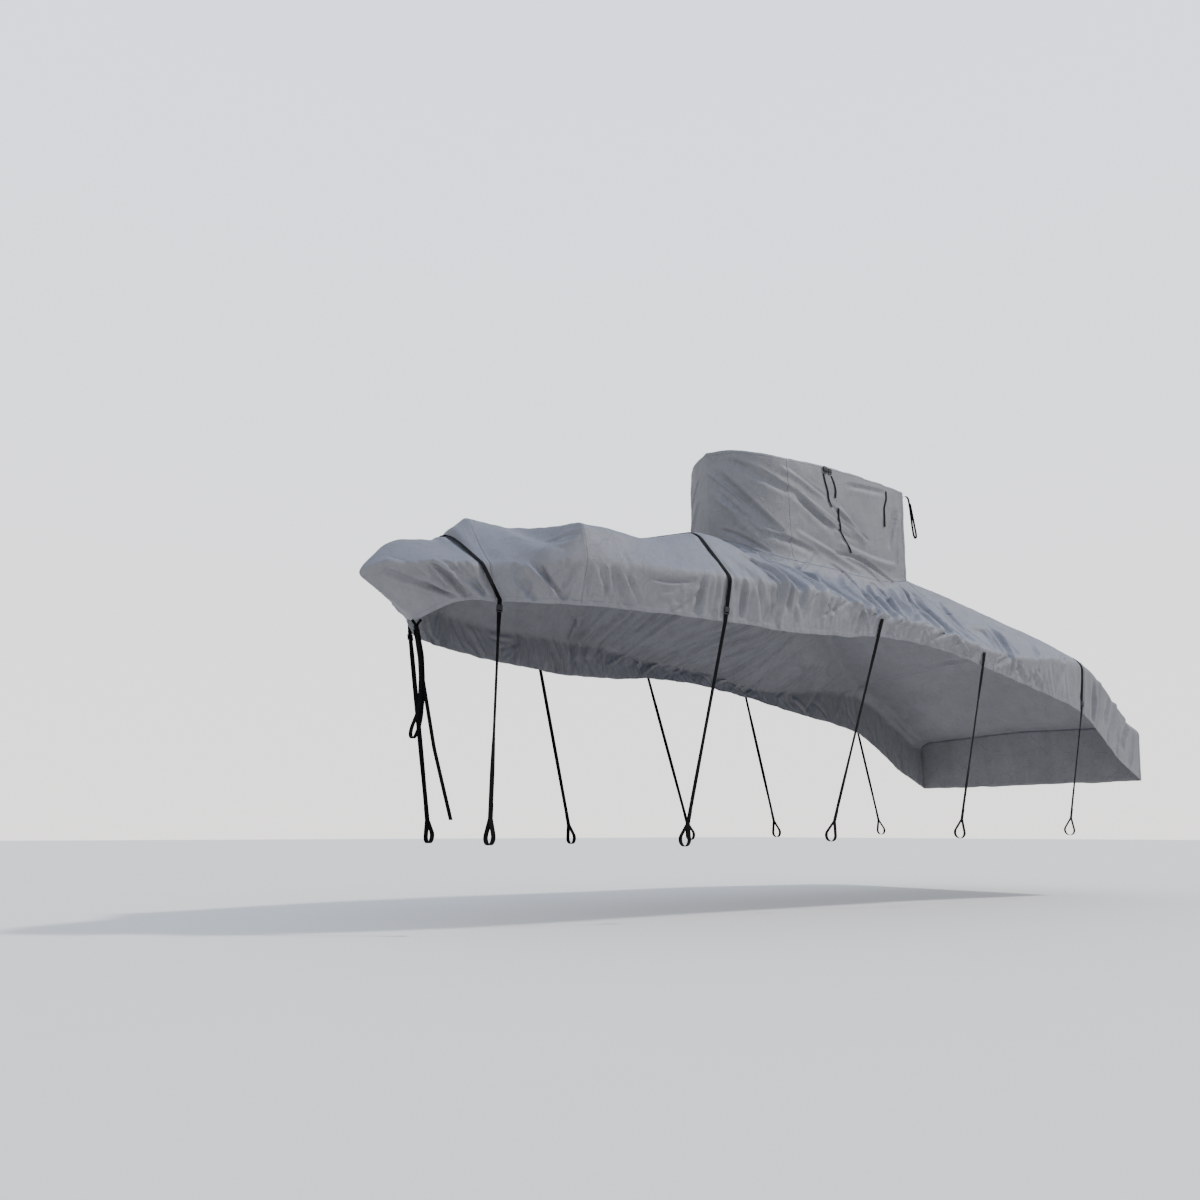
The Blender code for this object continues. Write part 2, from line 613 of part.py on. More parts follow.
def section_hull(tree, row):
    """Taut line round the cloth and through the frame ends, port to starboard."""
    samples = []
    for degrees in np.arange(*ray_degrees):
        ray = np.array((-math.cos(math.radians(degrees)), math.sin(math.radians(degrees))))
        aft = strap_aft(row, degrees)
        far = ray * ray_far + (0, ray_middle_up)
        edges = np.linspace(-strap_edge, strap_edge, strap_rays) * strap_width
        hit = outermost(tree, [(aft + edge, *far) for edge in edges], (0, *-ray))
        if hit is not None:
            reach = np.dot((hit.y, hit.z - ray_middle_up), ray)
            samples.append(ray * reach + (0, ray_middle_up))
    port = np.array((-row["port_half"], row["frame_up"]))
    starboard = np.array((row["starboard_half"], row["frame_up"]))
    line = off_line(taut([port, *samples, starboard], 1), strap_clearance, 1)
    path = [(row["frame_aft"], *line[0])]
    for half, up in line[1:-1]:
        degrees = math.degrees(math.atan2(up - ray_middle_up, -half))
        path.append((strap_aft(row, degrees if degrees > -90 else degrees + 360), half, up))
    return path + [(row["frame_aft"] + row["starboard_shift"], *line[-1])]


def off_line(points, clearance, hand):
    """The same line moved off the cloth by half a strap and its clearance."""
    steps = np.diff(points, axis=0)
    steps /= np.linalg.norm(steps, axis=1)[:, None]
    out = np.stack((-steps[:, 1], steps[:, 0]), axis=1) * hand
    before, after = np.vstack((out[:1], out)), np.vstack((out, out[-1:]))
    reach = clearance + hull_error + strap_thickness / 2
    mitre = (before + after) / (1 + (before * after).sum(axis=1))[:, None]
    return np.asarray(points) + mitre * reach


def turning(first, second):
    return first[0] * second[1] - first[1] * second[0]


def taut(samples, hand):
    """Outer hull of a chain of points in a cross-section, less the points it can do without."""
    hull = []
    for point in samples:
        while len(hull) > 1 and turning(hull[-1] - hull[-2], point - hull[-1]) * hand > 0:
            hull.pop()
        hull.append(point)
    kept, skipped = [hull[0]], []
    for point, after in zip(hull[1:], hull[2:]):
        skipped.append(point)
        chord = (after - kept[-1]) / np.linalg.norm(after - kept[-1])
        if max(abs(turning(chord, skip - kept[-1])) for skip in skipped) > hull_error:
            kept.append(point)
            skipped = []
    return [*kept, hull[-1]]


def frame_loop(end, before):
    """Path of the loop that closes round the trailer frame, laid back along the strap."""
    end, before = np.asarray(end), np.asarray(before)
    down = (end - before) / np.linalg.norm(end - before)
    side = np.cross((1.0, 0.0, 0.0), down)
    side /= np.linalg.norm(side)
    side = side if side[1] * end[1] > 0 else -side
    centre = end + down * loop_reach
    lean = math.asin(loop_round / loop_reach)
    turns = np.linspace(-math.pi / 2 - lean, math.pi / 2 + lean, loop_turns)
    ring = [centre + loop_round * (down * math.cos(turn) + side * math.sin(turn)) for turn in turns]
    lap = strap_thickness + loop_gap
    back = [end + side * lap, end + side * lap - down * loop_lap]
    return ring + back


def over_strap(tree, row, material):
    points = section_hull(tree, row)
    port = frame_loop(points[0], points[1])
    starboard = frame_loop(points[-1], points[-2])
    path = port[::-1] + [np.array(point) for point in points] + starboard
    strip("strap_" + row["name"], path, (1, 0, 0), strap_width, strap_thickness, material)
    return points


def place_on(points, up):
    """Point and direction of a strap's path at a height on its port side."""
    for low, high in zip(points, points[1:]):
        if low[2] <= up <= high[2]:
            low, high = np.array(low), np.array(high)
            share = (up - low[2]) / (high[2] - low[2])
            return low + share * (high - low), (high - low) / np.linalg.norm(high - low)
    raise ValueError("strap never reaches that height")


def buckle(name, place, direction, material):
    """Channel that straddles a strap: a front plate and two side walls, open to the cover."""
    along = np.array((1.0, 0.0, 0.0))
    out = np.cross(direction, along)
    out = out if out[1] * place[1] > 0 else -out
    inner = strap_width / 2 + seam_gap
    wide = inner + buckle_wall
    back, front = -strap_thickness / 2, strap_thickness / 2 + seam_gap
    top, bevel = front + buckle_wall, buckle_bevel
    profile = (
        (-wide, back), (-inner, back), (-inner, front), (inner, front), (inner, back), (wide, back),
        (wide, top - bevel), (wide - bevel, top), (bevel - wide, top), (-wide, top - bevel),
    )
    count = len(profile)
    points = []
    for end in (-0.5, 0.5):
        for across, height in profile:
            points.append(place + direction * end * buckle_length + along * across + out * height)
    faces = []
    for index in range(count):
        after = (index + 1) % count
        faces.append((index, after, after + count, index + count))
    for first, flip in ((0, False), (count, True)):
        for corners in ((0, 1, 2, 9), (2, 3, 6, 7), (3, 4, 5, 6), (2, 7, 8), (2, 8, 9)):
            face = tuple(first + corner for corner in corners)
            faces.append(face[::-1] if flip else face)
    return new_object(name, points, faces, material)


def sewn_strap(tree, row, side, material):
    """Strap sewn flat on the skirt, then hanging to the trailer frame."""
    word = "port" if side < 0 else "starboard"
    afts = row["aft"] + np.linspace(-strap_edge, strap_edge, strap_rays) * strap_width
    path = []
    for up in np.linspace(row["top_up"], row["top_up"] - sewn_reach, sewn_rays):
        hit = outermost(tree, [(aft, side * ray_far, up) for aft in afts], (0, -side, 0))
        if hit is not None and hit.y * side > row["frame_half"]:
            path.append(np.array((hit.y, up)))
    path.append(np.array((side * row["frame_half"], row["frame_up"])))
    line = off_line(taut(path, side), sewn_clearance, side)
    path = [np.array((row["aft"], *point)) for point in line]
    path += frame_loop(path[-1], path[-2])
    strip(f"strap_{row['name']}_{word}", path, (1, 0, 0), strap_width, strap_thickness, material)


def tower_tie(tree, name, route, side, material):
    """Free tie against a tower wall, a little further off it towards its free end."""
    edges = np.linspace(-tie_edge, tie_edge, tie_rays) * tie_width
    path = []
    for place in np.linspace(0, len(route) - 1, tie_steps * (len(route) - 1) + 1):
        aft, up = (np.interp(place, np.arange(len(route)), values) for values in zip(*route))
        rises = (-tie_rise, 0, tie_rise)
        starts = [(aft + edge, side * ray_far, up + rise) for edge in edges for rise in rises]
        reach = outermost(tree, starts, (0, -side, 0)).y * side
        lift = tie_clearance + tie_thickness / 2 + tie_lift * place
        path.append((aft, side * (reach + lift), up))
    return strip(name, path, (1, 0, 0), tie_width, tie_thickness, material)


def tower_buckle(tree, side, material):
    """Side-release buckle block on the tower wall above its two tails."""
    aft, up = tower_buckle_place
    long, deep, tall = tower_buckle_size
    starts = [
        (aft + across * long, side * ray_far, up + rise * tall)
        for across in np.linspace(-0.5, 0.5, 7) for rise in (-0.5, 0, 0.5)
    ]
    reach = outermost(tree, starts, (0, -side, 0)).y * side
    place = Vector((aft, side * (reach + sewn_clearance + deep / 2), up))
    block = bmesh.new()
    bmesh.ops.create_cube(block, size=1, matrix=Matrix.LocRotScale(place, None, (long, deep, tall)))
    bmesh.ops.bevel(
        block, geom=block.edges[:], offset=tower_buckle_bevel, segments=2, profile=0.5,
        affect="EDGES", material=-1,
    )
    return from_bmesh("buckle_tower_" + ("port" if side < 0 else "starboard"), block, material)


def from_bmesh(name, shape, material):
    mesh = bpy.data.meshes.new(name)
    bmesh.ops.recalc_face_normals(shape, faces=shape.faces)
    shape.to_mesh(mesh)
    shape.free()
    mesh.materials.append(material)
    piece = bpy.data.objects.new(name, mesh)
    bpy.context.collection.objects.link(piece)
    piece.parent = row_frame
    return piece


def bow_knot(stem, material):
    """Lump of knotted webbing just under the stem of the hem."""
    back, rise = bow_knot_seat
    centre = Vector(stem) + Vector((back, 0, rise - bow_knot_size[2] / 2))
    lump = bmesh.new()
    bmesh.ops.create_icosphere(
        lump, subdivisions=3, radius=0.5, matrix=Matrix.LocRotScale(centre, None, bow_knot_size)
    )
    for point in lump.verts:
        away = (point.co - centre).normalized()
        ridge = math.sin(3 * math.atan2(away.z, away.x) + 4 * away.y)
        point.co += away * bow_knot_ridge * ridge * (1 - max(away.z, 0))
    from_bmesh("bow_knot", lump, material)
    return centre


def build():
    grids = panel_grids()
    points, panels = weld(grids)
    normals = outward(points, panels)
    lift = np.zeros(len(points))
    for line, width, height in fold_lines():
        lift += fold_height(points, line, width, height)
    points = points + normals * lift[:, None]
    normals = outward(points, panels)
    cloth = new_material("marine canvas", steel_grey, 0.85)
    webbing = new_material("black webbing", web_black, 0.7)
    plastic = new_material("black plastic", web_black, 0.4)
    meeting = np.zeros(len(points))
    for triangles in panels.values():
        meeting[np.unique(triangles)] += 1
    gaps = np.where(meeting > 2, corner_gap, seam_gap)
    for name, triangles in panels.items():
        panel_solid(name, points, normals, gaps, triangles, cloth)
    every = np.concatenate(list(panels.values()))
    tree = BVHTree.FromPolygons([Vector(point) for point in points], every.tolist())
    for values in over_rows:
        row = dict(zip(over_columns, values))
        path = over_strap(tree, row, webbing)
        place, direction = place_on(path, row["buckle_up"])
        buckle(f"buckle_{row['name']}_port", place, direction, plastic)
        place, direction = place_on(path[::-1], row["buckle_up"])
        buckle(f"buckle_{row['name']}_starboard", place, direction, plastic)
    for values in sewn_rows:
        for side in (-1, 1):
            sewn_strap(tree, dict(zip(sewn_columns, values)), side, webbing)
    for side, word in ((-1, "port"), (1, "starboard")):
        for name, route in tie_rows:
            if side < 0 or name != "wall":
                tower_tie(tree, f"tie_{name}_{word}", route, side, webbing)
        tower_buckle(tree, side, plastic)
    knot = bow_knot(rib_knots(0)[0][0], webbing)
    seat = (knot.x, knot.z - bow_knot_size[2] / 2 - bow_knot_gap)
    loop = [(aft, -bow_web_half, up) for aft, up in (seat, *bow_loop_route)]
    strip("bow_loop", loop, (0, 1, 0), bow_web_width, strap_thickness, webbing)
    line = [(aft, bow_web_half, up) for aft, up in (seat, *bow_line_route)]
    strip("bow_line", line, (0, 1, 0), bow_web_width, strap_thickness, webbing)
    edges = np.linspace(-tie_edge, tie_edge, tie_rays) * tie_width
    for side, word in ((-1, "port"), (1, "starboard")):
        half = side * corner_loop_half
        seat = []
        for up in corner_loop_seat:
            rises = (-loop_rise, 0, loop_rise)
            starts = [(corner_loop_far, half + edge, up + rise) for edge in edges for rise in rises]
            hit = outermost(tree, starts, (-1, 0, 0))
            seat.append((hit.x + tie_clearance + tie_thickness / 2, half, up))
        loop = seat + [(aft, half, up) for aft, up in corner_loop_route]
        strip("corner_loop_" + word, loop, (0, 1, 0), tie_width, tie_thickness, material=webbing)


for old in list(bpy.data.objects):
    bpy.data.objects.remove(old)
row_frame = bpy.data.objects.new("row_frame", None)
bpy.context.collection.objects.link(row_frame)
row_frame.location = (-origin_aft, 0, -origin_up)
build()
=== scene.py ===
import math
import bmesh
import bpy
import numpy as np
from mathutils import Matrix, Vector, noise
from mathutils.bvhtree import BVHTree


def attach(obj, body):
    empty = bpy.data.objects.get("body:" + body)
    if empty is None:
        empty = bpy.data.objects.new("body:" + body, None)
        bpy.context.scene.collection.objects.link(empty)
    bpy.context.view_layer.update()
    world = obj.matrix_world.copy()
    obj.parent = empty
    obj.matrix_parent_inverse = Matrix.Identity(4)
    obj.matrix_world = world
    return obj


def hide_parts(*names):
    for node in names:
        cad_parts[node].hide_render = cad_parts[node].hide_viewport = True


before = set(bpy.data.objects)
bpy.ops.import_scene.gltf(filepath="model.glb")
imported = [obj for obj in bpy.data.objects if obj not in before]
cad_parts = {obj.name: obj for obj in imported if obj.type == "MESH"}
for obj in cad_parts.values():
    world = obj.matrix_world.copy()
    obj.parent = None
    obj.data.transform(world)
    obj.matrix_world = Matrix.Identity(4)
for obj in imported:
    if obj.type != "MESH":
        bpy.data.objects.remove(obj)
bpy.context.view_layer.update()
rowOrigin = np.array((3.60, 0.0, 3.355))  # the frame's origin, from the bow tip and the ground
rideBody = "root"
inside = np.array((3.5, 0.0, 1.6))  # a point under the cover, which every panel faces away from
hands = dict(port=-1, starboard=1)

# shape of the cover: "aft" is behind the bow tip, "half" off the centre, "up" above the ground
ribColumns = (
    "hemAft", "hemHalf", "hemUp", "railAft", "railHalf", "railUp", "shoulderAft", "shoulderHalf",
    "shoulderUp", "topAft", "topHalf", "topUp", "crownUp", "sag",
)
ribTable = np.array((  # millimetres
    (385, 0, 1765, 0, 0, 1985, 30, 0, 2050, 90, 0, 2112, 2112, 0),
    (390, 55, 1768, 40, 90, 2015, 100, 50, 2105, 170, 0, 2205, 2205, 0),
    (410, 125, 1785, 120, 190, 2035, 190, 100, 2145, 270, 0, 2262, 2262, 0),
    (455, 240, 1817, 260, 320, 2036, 320, 180, 2150, 390, 0, 2286, 2286, 0),
    (520, 380, 1832, 430, 430, 2036, 480, 250, 2155, 510, 0, 2322, 2322, 0),
    (620, 530, 1810, 600, 480, 2040, 630, 330, 2160, 692, 0, 2494, 2494, 0),
    (710, 650, 1798, 730, 640, 2030, 740, 550, 2105, 800, 0, 2482, 2482, 5),
    (805, 725, 1793, 815, 765, 2030, 815, 720, 2115, 895, 0, 2476, 2476, 15),
    (900, 782, 1789, 905, 840, 2030, 905, 795, 2150, 980, 0, 2468, 2468, 30),
    (1000, 825, 1786, 1000, 893, 2030, 1000, 845, 2286, 1040, 0, 2462, 2462, 22),
    (1200, 910, 1778, 1200, 965, 2030, 1200, 840, 2288, 1230, 0, 2445, 2445, 15),
    (1510, 1010, 1767, 1510, 1065, 2030, 1510, 845, 2272, 1530, 0, 2462, 2462, 15),
    (1750, 1065, 1763, 1750, 1120, 2030, 1750, 850, 2338, 1760, 0, 2500, 2500, 10),
    (1950, 1098, 1760, 1950, 1152, 2030, 1950, 850, 2388, 1960, 0, 2530, 2530, 4),
    (2120, 1120, 1752, 2120, 1175, 2030, 2100, 880, 2360, 2150, 0, 2560, 2560, 12),
    (2280, 1140, 1744, 2280, 1193, 2030, 2260, 940, 2280, 2350, 0, 2595, 2595, 30),
    (2450, 1153, 1748, 2450, 1210, 2030, 2440, 880, 2260, 2570, 0, 2640, 2640, 30),
    (2700, 1170, 1760, 2700, 1226, 2030, 2710, 800, 2290, 2810, 0, 2700, 2700, 20),
    (2880, 1180, 1768, 2880, 1235, 2010, 2890, 820, 2270, 2860, 200, 2620, 2620, 20),
    (3030, 1186, 1788, 3030, 1240, 1985, 3030, 860, 2235, 2970, 370, 2520, 2520, 20),
    (3220, 1191, 1805, 3220, 1245, 1960, 3210, 880, 2205, 3180, 490, 2465, 2465, 20),
    (3520, 1195, 1810, 3520, 1250, 1945, 3510, 880, 2195, 3500, 520, 2460, 2460, 30),
    (3850, 1198, 1795, 3850, 1250, 1930, 3850, 880, 2180, 3850, 525, 2450, 2450, 30),
    (4200, 1196, 1758, 4200, 1248, 1880, 4200, 875, 2165, 4200, 525, 2460, 2460, 25),
    (4550, 1190, 1708, 4550, 1242, 1830, 4540, 870, 2180, 4530, 510, 2530, 2575, 10),
    (4900, 1183, 1655, 4900, 1236, 1830, 4895, 955, 2112, 4890, 690, 2392, 2470, 12),
    (5250, 1172, 1604, 5250, 1225, 1865, 5245, 1035, 2060, 5240, 855, 2244, 2350, 10),
    (5600, 1158, 1552, 5600, 1208, 1885, 5595, 1120, 1995, 5590, 1020, 2090, 2200, 8),
    (5930, 1146, 1480, 5930, 1192, 1865, 5925, 1160, 1918, 5920, 1110, 1955, 2045, 0),
    (6180, 1134, 1340, 6180, 1175, 1780, 6180, 1140, 1828, 6180, 1080, 1862, 1938, 0),
    (6480, 1120, 1145, 6480, 1155, 1600, 6480, 1120, 1640, 6480, 1060, 1668, 1735, 6),
    (6740, 1110, 1030, 6740, 1140, 1436, 6740, 1100, 1474, 6740, 1040, 1498, 1546, 6),
    (6880, 1108, 966, 6905, 1132, 1372, 6905, 1100, 1418, 6900, 1040, 1442, 1478, 4),
)) / 1000
seams = dict(bow=5, fore=9, towerFront=17, towerSide=20, towerRear=24, stern=28, transom=32)
rimTable = np.array((
    (2.800, 0.000, 3.390),
    (2.860, 0.210, 3.370),
    (2.985, 0.370, 3.335),
    (3.190, 0.465, 3.310),
    (3.500, 0.490, 3.325),
    (3.850, 0.500, 3.335),
    (4.200, 0.500, 3.335),
    (4.580, 0.500, 3.320),
))
cover = dict(
    towerCrown=0.03, transomAft=6.915, transomUp=0.962, thickness=0.0016, fadeRibs=1.5,
    railRound=0.032, shoulderRound=0.07, ridgeRound=0.12, footRound=0.12, hipRound=0.06, rimRound=0.04,
    skirtCells=22, flankCells=26, roofCells=40, wallCells=68, crownCells=26,
    frontCells=70, sideCells=120,
)


def catmull(rows, place):
    last = len(rows) - 1
    low = min(int(math.floor(place)), last - 1)
    t = place - low
    a, b = rows[low], rows[low + 1]
    before = rows[low - 1] if low > 0 else 2 * a - b
    after = rows[low + 2] if low + 2 <= last else 2 * b - a
    straight = 2 * a + (b - before) * t
    square = (2 * before - 5 * a + 4 * b - after) * t**2
    return 0.5 * (straight + square + (3 * a - before - 3 * b + after) * t**3)


def ribKnots(rib):
    stops = sorted(seams.values())
    stops = [0] + [stop for stop in stops if stop != seams["towerSide"]]
    for start, end in zip(stops, stops[1:]):
        if rib <= end + 1e-9:
            row = dict(zip(ribColumns, catmull(ribTable[start:end + 1], rib - start)))
            break
    names = ("hem", "rail", "shoulder", "top")
    knots = [(row[name + "Aft"], -row[name + "Half"], row[name + "Up"]) for name in names]
    return np.array(knots + [(row["topAft"], 0.0, row["crownUp"])]), row["sag"]


def mirrored(points):
    return np.asarray(points) * (1, -1, 1)


def acrossTop(half):  # the port half of a line with its mirror image
    return np.concatenate((half, mirrored(half[-2::-1])))


def unit(vectors):
    return vectors / np.maximum(np.linalg.norm(vectors, axis=-1, keepdims=True), 1e-9)


def reachAlong(line):  # the distance along a line to each of its points
    return np.concatenate(([0.0], np.cumsum(np.linalg.norm(np.diff(line, axis=0), axis=1))))


def softRamp(distance, width):
    if width < 1e-6:
        return np.maximum(distance, 0.0)
    middle = (distance + width)**2 / (4 * width)
    return np.where(distance < -width, 0.0, np.where(distance > width, distance, middle))


def bendLine(knots, rounds, samples):  # a line with rounded corners, sampled by knot number
    steps = np.diff(knots, axis=0)
    lengths = np.maximum(np.linalg.norm(steps, axis=1), 1e-9)
    reach = np.concatenate(([0.0], np.cumsum(lengths)))
    place = np.interp(samples, np.arange(len(knots)), reach)
    points = np.tile(knots[0], (len(samples), 1))
    for i, (step, length) in enumerate(zip(steps, lengths)):
        before, after = lengths[max(i - 1, 0)], lengths[min(i + 1, len(lengths) - 1)]
        near = min(rounds[i], 0.45 * min(length, before))
        far = min(rounds[i + 1], 0.45 * min(length, after))
        ramp = softRamp(place - reach[i], near) - softRamp(place - reach[i + 1], far)
        points += np.outer(ramp, step / length)
    return points


def fadeNear(rib, *ends):
    return min(1.0, min(abs(rib - end) for end in ends) / cover["fadeRibs"])


def cells(*counts):
    parts = [np.linspace(i, i + 1, count + 1)[:-1] for i, count in enumerate(counts)]
    return np.append(np.concatenate(parts), len(counts))


def sagged(points, knots, sag):  # the cloth hangs a little between its shoulder and its top
    part = np.clip(knots - 2, 0, 1)
    points[:, 2] -= sag * 4 * part * (1 - part)
    return points


def deckLine(rib, samples):  # port hem, over the top, to the starboard hem
    knots, sag = ribKnots(rib)
    rounds = [0, cover["railRound"], cover["shoulderRound"]]
    half, middle = knots, [cover["ridgeRound"]]
    if rib <= seams["towerFront"]:
        half, middle = knots[:4], [cover["ridgeRound"] * fadeNear(rib, 0, seams["towerFront"])]
    else:
        rounds = rounds + [cover["hipRound"] * fadeNear(rib, seams["towerRear"])]
    whole = acrossTop(half)
    points = bendLine(whole, rounds + middle + rounds[::-1], samples)
    return sagged(points, np.minimum(samples, len(whole) - 1 - samples), sag)


def towerLine(rib, samples):  # port hem, foot of the tower, rim, middle of the top
    knots, sag = ribKnots(rib)
    aft, half, up = catmull(rimTable, rib - seams["towerFront"])
    crown = cover["towerCrown"] * half / rimTable[:, 1].max()
    knots = np.concatenate((knots[:4], [(aft, -half, up), (aft, 0.0, up + crown)]))
    foot = cover["footRound"] * fadeNear(rib, seams["towerFront"], seams["towerRear"])
    rounds = [0, cover["railRound"], cover["shoulderRound"], foot, cover["rimRound"], 0]
    return sagged(bendLine(knots, rounds, samples), samples, sag)


def surfacePoints(ribs, knots, side):
    points = []
    for rib, knot in zip(ribs, knots):
        line = towerLine if seams["towerFront"] < rib < seams["towerRear"] else deckLine
        points.append(line(rib, np.array([knot]))[0])
    return np.array(points) if side < 0 else mirrored(points)


skirt, flank, roof = cover["skirtCells"], cover["flankCells"], cover["roofCells"]
wall, crown = cover["wallCells"], cover["crownCells"]
deckRows = skirt + flank + roof
wallRows = deckRows + wall


def arch(rib):
    counts = (skirt, flank, roof) if rib <= seams["towerFront"] else (skirt, flank, roof, crown)
    return deckLine(rib, cells(*counts, *counts[::-1]))


def towerRib(rib, side):
    points = towerLine(rib, cells(skirt, flank, roof, wall, crown))
    return points if side < 0 else mirrored(points)


def archGrid(start, end, count):
    return np.array([arch(rib) for rib in np.linspace(start, end, count + 1)])


def ribGrid(start, end, count, low, high, side):
    return np.array([towerRib(rib, side)[low:high + 1] for rib in np.linspace(start, end, count + 1)])


def bowGrid(count):
    ribs = np.linspace(seams["bow"], 0, count + 1)
    return acrossTop(np.array([arch(rib)[:deckRows + 1] for rib in ribs]))


def patchGrid(left, right, low, high):  # rows filled in between four edges
    across = np.linspace(0, 1, len(low))[:, None, None]
    along = np.linspace(0, 1, len(left))[None, :, None]
    blend = (1 - across) * left[None] + across * right[None]
    blend = blend + (1 - along) * low[:, None] + along * high[:, None]
    corners = (1 - across) * (1 - along) * left[0] + (1 - across) * along * left[-1]
    return blend - corners - across * (1 - along) * right[0] - across * along * right[-1]


def panelGrids():
    front, side, rear = seams["towerFront"], seams["towerSide"], seams["towerRear"]
    grids = {
        "bow_cap": bowGrid(84),
        "fore_deck": archGrid(seams["bow"], seams["fore"], 52),
        "mid_deck": archGrid(seams["fore"], front, 180),
        "aft_deck": archGrid(rear, seams["stern"], 124),
        "stern_drop": archGrid(seams["stern"], seams["transom"], 96),
    }
    frontCells, sideCells = cover["frontCells"], cover["sideCells"]
    for word, hand in hands.items():
        ahead = ribGrid(front, side, frontCells, 0, deckRows, hand)
        behind = ribGrid(side, rear, sideCells, 0, deckRows, hand)
        grids["side_" + word] = np.concatenate((ahead, behind[1:]))
        grids["tower_" + word] = ribGrid(side, rear, sideCells, deckRows, wallRows, hand)
    grids["tower_front"] = acrossTop(ribGrid(front, side, frontCells, deckRows, wallRows, -1)[::-1])
    ribs = np.linspace(front, side, frontCells + 1)
    ribs = np.append(ribs, np.linspace(side, rear, sideCells + 1)[1:])
    tops = [acrossTop(towerRib(rib, -1)[wallRows:]) for rib in ribs]
    grids["tower_top"] = np.array(tops)
    edge = towerRib(rear, -1)[deckRows:wallRows + 1]
    grids["tower_rear"] = patchGrid(edge, mirrored(edge), arch(rear)[deckRows:-deckRows], tops[-1])
    rim = arch(seams["transom"])
    edge, over = rim[:skirt + 1], rim[skirt:-skirt]
    share = np.linspace(0, 1, len(over))[:, None]
    low = (1 - share) * edge[0] + share * mirrored(edge[0])
    bulge = np.clip(np.minimum(share, 1 - share) * 8, 0, 1)
    low = low + bulge * (cover["transomAft"] - edge[0][0], 0, cover["transomUp"] - edge[0][2])
    grids["transom"] = patchGrid(edge, mirrored(edge), low, over)
    return grids


# over straps, used for the press in the cloth and for the webbing
overColumns = (
    "name", "crestAft", "railAft", "hemAft", "frameAft", "starboardShift",
    "frameUp", "portHalf", "starboardHalf", "buckleUp",
)
overTable = (
    ("bow", 0.545, 0.556, 0.624, 0.575, 0.00, 0.600, 0.590, 0.120, 1.765),
    ("mid", 1.940, 1.885, 1.880, 1.880, 0.15, 0.580, 0.720, 0.720, 1.824),
    ("stern", 5.900, 5.900, 5.900, 5.900, 0.00, 0.640, 0.960, 0.960, 1.560),
)
overTurns = dict(  # degrees above the middle of the section
    rail=32, hem=7, frame=-20, sweep=(-25, 205, 0.25), middleUp=1.75, far=4.0,
)


def strapAft(row, degrees):  # how far aft an over strap lies, at an angle round its section from port
    turns = (overTurns["frame"], overTurns["hem"], overTurns["rail"], 90)
    afts = [row[word] for word in ("frameAft", "hemAft", "railAft", "crestAft")]
    shift = row["starboardShift"] * np.interp(degrees, (90, 180 - overTurns["rail"]), (0, 1))
    return np.interp(np.minimum(degrees, 180 - degrees), turns, afts) + shift


